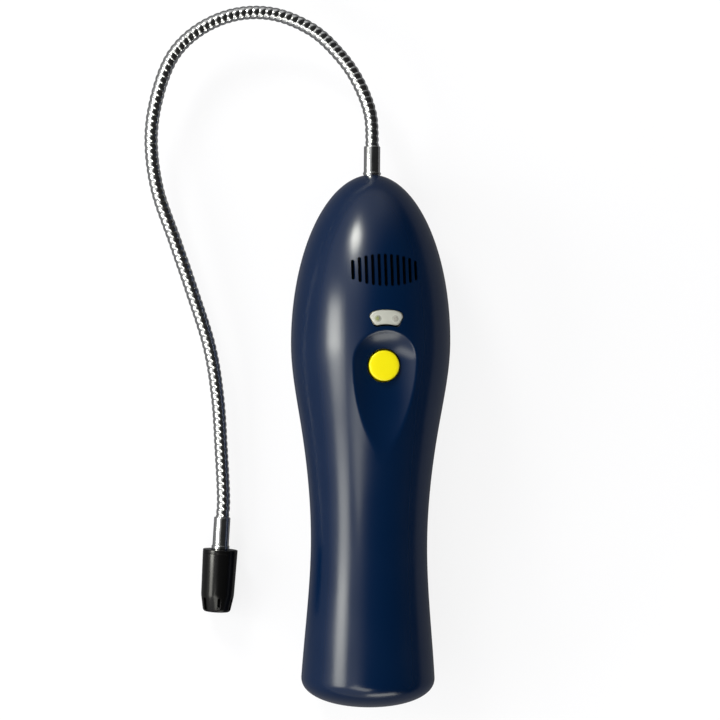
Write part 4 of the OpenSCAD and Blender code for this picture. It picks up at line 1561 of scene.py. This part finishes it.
@dataclass(frozen=True)
class ProbeTip:
    """Sensor socket and the guard that pulls off it, on the tip's own axis."""

    x: float = -55.101
    y: float = -68.113
    z: float = 6.95
    turn: float = -3.13
    guard_r: float = 6.7
    front_r: float = 6.35
    end_r: float = 5.2
    collar_at: float = 12.4
    collar_l: float = 1.6
    collar_edge: float = 0.35
    socket_r: float = 5.3
    socket_l: float = 9.0
    socket_bore_r: float = 3.75
    socket_sides: int = 56
    spigot_r: float = 2.65
    sensor_seat: float = 4.0
    guard_l: float = 22.5
    guard_wall: float = 1.3
    guard_sides: int = 72
    guard_crease: float = 35.0
    nose_l: float = 6.4
    nose_soft: float = 0.7
    inside_l: float = 1.0
    end_soft: float = 1.2
    end_wall: float = 1.1
    end_depth: float = 1.6
    mouth_r: float = 3.5
    mouth_l: float = 1.4
    mouth_soft: float = 0.4
    slots: int = 6
    slot_w: float = 1.5
    slot_share: float = 0.72
    blade_reach: float = 6.0
    blade_out: float = 2.2
    split: float = 0.03
    split_edge: float = 0.06

    def place(self) -> Matrix:
        """Where the tip's axis is, pointing away from the neck."""
        lean = Matrix.Rotation(math.radians(self.turn), 4, "Z")
        return Matrix.Translation((self.x, self.y, self.z)) @ lean @ along_y(0, 0, 0, -1)

    def socket(self) -> Object:
        """Collar and sleeve that the sensor sits in.

        Returns:
            The closed socket.
        """
        face = self.collar_at + self.collar_l - self.split
        end = self.collar_at + self.collar_l + self.socket_l
        seat = end - self.sensor_seat
        profile = [
            (self.spigot_r, self.collar_at), (self.guard_r, self.collar_at), (self.guard_r, face),
            (self.socket_r, face), (self.socket_r, end), (self.socket_bore_r, end),
            (self.socket_bore_r, seat), (self.spigot_r, seat)]
        radii = [0.0, self.collar_edge, self.split_edge] + [0.0] * 5
        rounded_profile = rounded(profile, radii)
        return smooth(revolve("sensor_socket_black", rounded_profile, self.place(), self.socket_sides))

    def slot_cutter(self) -> Object:
        """Makes the blades that cut the guard's nose, round its axis.

        Returns:
            One object with all the blades, in place.
        """
        end = self.collar_at + self.collar_l + self.guard_l
        shape = NodeShape("guard_slots", {
            "Slots": self.slots, "Width": self.slot_w, "Length": self.nose_l * self.slot_share,
            "Reach": self.mouth_r})
        add = shape.add
        size = add("ShaderNodeCombineXYZ", {
            0: self.blade_reach * MM, 1: shape["Width"], 2: shape["Length"]})
        blade = add("GeometryNodeMeshCube", {"Size": size})
        radius = add("ShaderNodeMath", {0: shape["Reach"], 1: self.blade_out * MM}, operation="ADD")
        ring = add("GeometryNodeMeshCircle", {"Vertices": shape["Slots"], "Radius": radius})
        angle = add("ShaderNodeMath", {
            0: add("GeometryNodeInputIndex"), 1: 2 * math.pi}, operation="MULTIPLY")
        turn = add("ShaderNodeMath", {0: angle, 1: shape["Slots"]}, operation="DIVIDE")
        blades = add("GeometryNodeInstanceOnPoints", {
            "Points": ring, "Instance": blade, "Rotation": add("ShaderNodeCombineXYZ", {2: turn})})
        raised = add("GeometryNodeTransform", {
            "Geometry": blades, "Translation": (0, 0, (end - self.nose_l / 2) * MM),
            "Rotation": (0, 0, math.pi / 2)})
        base = shape.finish(raised, mesh_object("guard_slot_cutter", [(0, 0, 0)], []))
        move = self.place()
        move.translation *= MM
        base.data.transform(move)
        return base

    def guard(self) -> Object:
        """Guard over the sensor: a plain barrel and a slotted nose.

        Returns:
            The closed guard.
        """
        start = self.collar_at + self.collar_l + self.split
        end = self.collar_at + self.collar_l + self.guard_l
        nose = end - self.nose_l
        inner = self.guard_r - self.guard_wall
        profile = [
            (inner, start), (self.guard_r, start), (self.front_r, nose), (self.end_r, end),
            (self.mouth_r, end), (self.mouth_r, end - self.mouth_l),
            (self.end_r - self.end_wall, end - self.end_depth),
            (self.front_r - self.guard_wall, nose), (inner, nose - self.inside_l)]
        radii = [0.0, self.split_edge, self.nose_soft, self.end_soft, self.mouth_soft] + [0.0] * 4
        guard = revolve("tip_guard_black", rounded(profile, radii), self.place(), self.guard_sides)
        return smooth(combine(guard, self.slot_cutter(), Cut.AWAY), self.guard_crease)

    def build(self, finish: Material) -> None:
        """Makes and dresses the socket and the guard."""
        dress(self.socket(), finish, Body.TIP, ["sensor_socket"])
        dress(self.guard(), finish, Body.GUARD, ["tip_guard"])


# Studio


@dataclass(frozen=True)
class Viewpoint:
    """Camera that looks down on the detector from a little to its left."""

    target: Point = (-4.1, -6.9, 21.0)
    tilt: float = 11.2
    roll: float = 0.45
    distance: float = 850.0
    lens: float = 110.4
    clip: float = 10.0

    def build(self) -> None:
        """Adds the camera and makes it the scene's own."""
        tilt, roll = math.radians(self.tilt), math.radians(self.roll)
        level = Vector((math.cos(tilt), 0, math.sin(tilt)))
        back = Vector((-math.sin(tilt), 0, math.cos(tilt)))
        upward = back.cross(level)
        right = level * math.cos(roll) + upward * math.sin(roll)
        up = upward * math.cos(roll) - level * math.sin(roll)
        camera = bpy.data.cameras.new("photo_camera")
        camera.lens = self.lens
        camera.clip_start = self.clip * MM
        obj = bpy.data.objects.new("photo_camera", camera)
        turn = Matrix((right, up, back)).transposed().to_4x4()
        obj.matrix_world = Matrix.Translation((Vector(self.target) + back * self.distance) * MM) @ turn
        bpy.context.collection.objects.link(obj)
        bpy.context.scene.camera = obj


@dataclass(frozen=True)
class Lamp:
    """One soft box: where it hangs, what it points at, its size and its power."""

    name: str
    at: Point
    aim: Point
    size: Flat
    watts: float
    mirrored: bool = True
    colour: str = "#fffff5"

    def build(self) -> None:
        """Adds the lamp, left out of reflections if it only fills."""
        light = bpy.data.lights.new(self.name, "AREA")
        light.shape = "RECTANGLE"
        light.size, light.size_y = (s * MM for s in self.size)
        light.energy = self.watts
        light.color = linear(self.colour)[:3]
        obj = bpy.data.objects.new(self.name, light)
        way = Vector(self.aim) - Vector(self.at)
        turn = way.to_track_quat("-Z", "Y").to_matrix().to_4x4()
        obj.matrix_world = Matrix.Translation(Vector(self.at) * MM) @ turn
        obj.visible_glossy = self.mirrored
        bpy.context.collection.objects.link(obj)


@dataclass(frozen=True)
class Studio:
    """Paper floor, soft boxes and a surround that is bright at its foot and dark overhead."""

    floor_colour: str = "#6c6c71"
    floor_half: float = 1500.0
    floor_gap: float = 0.1
    near: float = 150.0
    far: float = 600.0
    floor_glow: float = 0.85
    mirrored_glow: float = 0.05
    surround: float = 0.62
    ceiling: float = 0.02
    right_from: float = 0.2
    right_to: float = 0.7
    lean: float = 0.5
    dark_from: float = 0.5
    dark_to: float = 0.85
    lamps: tuple[Lamp, ...] = (
        Lamp("left_soft_box", (-683, 62, 345), (0, 62, 30), (245, 260), 2.3),
        Lamp("left_wall_glow", (-760, -150, 430), (0, -150, 30), (400, 290), 2.1),
        Lamp("nose_soft_box", (-460, 600, 495), (-10, 42, 42), (210, 200), 4.0),
        Lamp("tail_soft_box", (-290, -410, 660), (5, -10, 45), (500, 220), 1.15),
        Lamp("tail_wall_glow", (170, -790, 300), (0, 0, 45), (450, 250), 1.2),
        Lamp("right_fill", (750, -20, 300), (0, -20, 30), (700, 500), 2.6, mirrored=False),
    )

    def build(self) -> None:
        """Adds the surround, the lamps and the floor."""
        bpy.context.scene.view_settings.view_transform = "Standard"
        bpy.context.scene.world = self.room()
        for lamp in self.lamps:
            lamp.build()
        h, z = self.floor_half, -self.floor_gap
        corners = [(-h, -h, z), (h, -h, z), (h, h, z), (-h, h, z)]
        floor = mesh_object("studio_floor", corners, [[0, 1, 2, 3]])
        floor.data.materials.append(self.paper())

    @staticmethod
    def seen_straight(nodes: Nodes) -> Node:
        """One where the camera sees the surface, through clear plastic too, and zero elsewhere."""
        ray = nodes.add("ShaderNodeLightPath").outputs
        return nodes.add("ShaderNodeMath", {
            0: ray["Is Camera Ray"], 1: ray["Is Transmission Ray"]}, operation="MAXIMUM")

    def room(self) -> bpy.types.World:
        """Surround: white to the camera, and in reflections bright low down, dark right and overhead.

        Returns:
            The world.
        """
        world = bpy.data.worlds.new("studio_surround")
        world.use_nodes = True
        nodes = Nodes(world.node_tree)
        direction = nodes.add("ShaderNodeTexCoord").outputs["Generated"]
        way = nodes.add("ShaderNodeSeparateXYZ", {0: direction}).outputs
        side = nodes.add("ShaderNodeMapRange", {
            "Value": way["X"], "From Min": self.right_from, "From Max": self.right_to,
            "To Min": self.surround, "To Max": self.ceiling})
        leaning = nodes.add("ShaderNodeMath", {
            0: way["X"], 1: self.lean, 2: way["Z"]}, operation="MULTIPLY_ADD")
        level = nodes.add("ShaderNodeMapRange", {
            "Value": leaning, "From Min": self.dark_from, "From Max": self.dark_to,
            "To Min": side, "To Max": self.ceiling})
        shown = nodes.add("ShaderNodeMath", {
            0: self.seen_straight(nodes), 1: level}, operation="MAXIMUM")
        nodes.feed(nodes.tree.nodes["Background"], {"Color": linear("#ffffff"), "Strength": shown})
        return world

    def paper(self) -> Material:
        """Grey seamless paper that glows white to the camera, most far off, and faintly in reflections.

        Returns:
            The floor's material.
        """
        paint = Paint("seamless_paper_matt")
        paint.tree.nodes.remove(paint.tree.nodes["Principled BSDF"])
        off = paint.add("ShaderNodeVectorMath", {0: paint.coordinates["Object"]}, operation="LENGTH")
        lifted = paint.add("ShaderNodeMapRange", {
            "Value": off.outputs["Value"], "From Min": self.near * MM, "From Max": self.far * MM,
            "To Min": self.floor_glow, "To Max": 1.0})
        direct = paint.add("ShaderNodeMath", {
            0: self.seen_straight(paint), 1: lifted}, operation="MULTIPLY")
        in_mirrors = paint.add("ShaderNodeLightPath").outputs["Is Glossy Ray"]
        mirrored = paint.add("ShaderNodeMath", {
            0: in_mirrors, 1: self.mirrored_glow}, operation="MULTIPLY")
        glow = paint.add("ShaderNodeMath", {0: direct, 1: mirrored}, operation="MAXIMUM")
        lift = paint.add("ShaderNodeEmission", {"Strength": glow})
        matt = paint.add("ShaderNodeBsdfDiffuse", {"Color": linear(self.floor_colour)})
        both = paint.add("ShaderNodeAddShader", {0: matt, 1: lift})
        paint.feed(paint.tree.nodes["Material Output"], {"Surface": both})
        return paint.material


# The whole detector


class LeakDetector:
    """The detector's sub-assemblies and the finishes that several of them share."""

    def __init__(self) -> None:
        """Takes the sizes of each sub-assembly and makes the shared finishes."""
        self.form = HousingForm()
        self.grille = Grille()
        self.window = Window()
        self.button = Button()
        self.door = BatteryDoor()
        self.screws = HousingScrews()
        self.tip = ProbeTip()
        # Satin ABS: deep navy with a soft, broad sheen
        self.navy = MouldedPlastic("abs_navy_satin", "#011837", roughness=0.23).build()
        # Gloss ABS: near black, with sharp streaks of light
        self.black = MouldedPlastic("abs_black_gloss", "#0a0a0b", roughness=0.2, specular=0.36).build()
        # Bright nickel plate: mirrors the room, slightly hazy
        self.plate = PlatedMetal("nickel_plate_bright", "#e0e1e1", roughness=0.14).build()
        # Zinc-plated steel: duller than the plate
        self.steel = PlatedMetal("zinc_plated_steel", "#b9bcc0", roughness=0.28).build()

    def build_housing(self) -> None:
        """Makes and dresses the two mouldings, then the battery door and the screws."""
        front = self.form.shell("housing_front", Half.FRONT)
        for cutter in (self.button.cutter(), self.window.cutter(), self.grille.cutter()):
            combine(front, cutter, Cut.AWAY)
        rear = self.form.shell("housing_rear", Half.REAR)
        for walls in (self.door.bay(self.form), self.screws.posts(self.form)):
            combine(rear, walls, Cut.JOIN)
        opening = self.door.column("door_opening", -self.door.ledge_w)
        for cutter in (self.door.bay_space(self.form), self.door.recess(self.form), opening,
                       *self.screws.drills(self.form)):
            combine(rear, cutter, Cut.AWAY)
        for moulding, node in ((front, "front_shell"), (rear, "rear_shell")):
            smooth(moulding, self.form.crease)
            dress(moulding, self.navy, Body.HANDLE, [node])
        self.door.build(self.form, self.navy)
        self.screws.build(self.steel)

    def build_controls(self) -> None:
        """Makes and dresses the button and the window with its lamps."""
        self.button.build()
        self.window.build(self.form)

    def build_probe(self) -> None:
        """Makes and dresses the neck, its ferrules, the sensor socket and the guard."""
        Gooseneck().build(self.plate)
        Ferrules().build(self.form, self.tip.place(), self.plate)
        self.tip.build(self.black)

    def paint_inside(self) -> None:
        """Gives the CAD nodes inside the housing their finishes."""
        # Glass-filled nylon: matt black
        nylon = MouldedPlastic("nylon_black_matt", "#1b1b1d", roughness=0.5).build()
        # Plain mouldings: white and ivory, with a dull sheen
        white = MouldedPlastic("abs_white_matt", "#ecece8", roughness=0.45).build()
        ivory = MouldedPlastic("nylon_ivory", "#e3dcc8", roughness=0.45).build()
        # PVC shrink sleeve of the capacitors: dark blue with a little shine
        sleeve = MouldedPlastic("pvc_sleeve_blue", "#2b3350", roughness=0.35).build()
        # Sintered bronze cap of the sensor: dull and grainy
        sinter = PlatedMetal("sintered_bronze", "#a89a7c", roughness=0.5, haze=0.2, haze_mm=0.6).build()
        # PVC insulation of the leads: red and black, with a soft shine
        red = MouldedPlastic("pvc_lead_red", "#a81f1b", roughness=0.4).build()
        dark = MouldedPlastic("pvc_lead_black", "#19191a", roughness=0.4).build()
        # Glass-fibre board: green mask over paler copper tracks
        board = SolderMask("glass_fibre_board_green_mask").build()
        # Printed shrink sleeves of the cells: dark, with a copper band at the raised end
        left = CellSleeve("cell_sleeve_left", start_mm=-117.5, length_mm=50.5,
                          band_from=0.68, band_to=0.97).build()
        right = CellSleeve("cell_sleeve_right", start_mm=-123.5, length_mm=50.5,
                           band_from=0.03, band_to=0.32).build()
        finishes = {
            board: ["main_board"],
            nylon: ["sounder", "control_chip", "switch_body", "switch_plunger"],
            sleeve: ["filter_capacitors"],
            ivory: ["sensor_connector"],
            white: ["led_spacer"],
            left: ["battery_1", "battery_2"],
            right: ["battery_3", "battery_4"],
            self.steel: ["base_contact", "head_contact_positive", "head_contact_negative",
                         "battery_spring_left", "battery_spring_right", "board_screws"],
            red: ["battery_lead_positive"],
            dark: ["battery_lead_negative", "sensor_lead"],
            sinter: ["sensor_element"]}
        for material, names in finishes.items():
            for name in names:
                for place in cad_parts[name].material_slots:
                    place.material = material
                LOG.info("%s: %s", name, material.name)


def main() -> None:
    """Builds the view, the studio and the detector, in that order."""
    logging.basicConfig(level=logging.INFO, format="%(message)s")
    Viewpoint().build()
    Studio().build()
    detector = LeakDetector()
    detector.build_housing()
    detector.build_controls()
    detector.build_probe()
    detector.paint_inside()


if __name__ == "__main__":
    main()
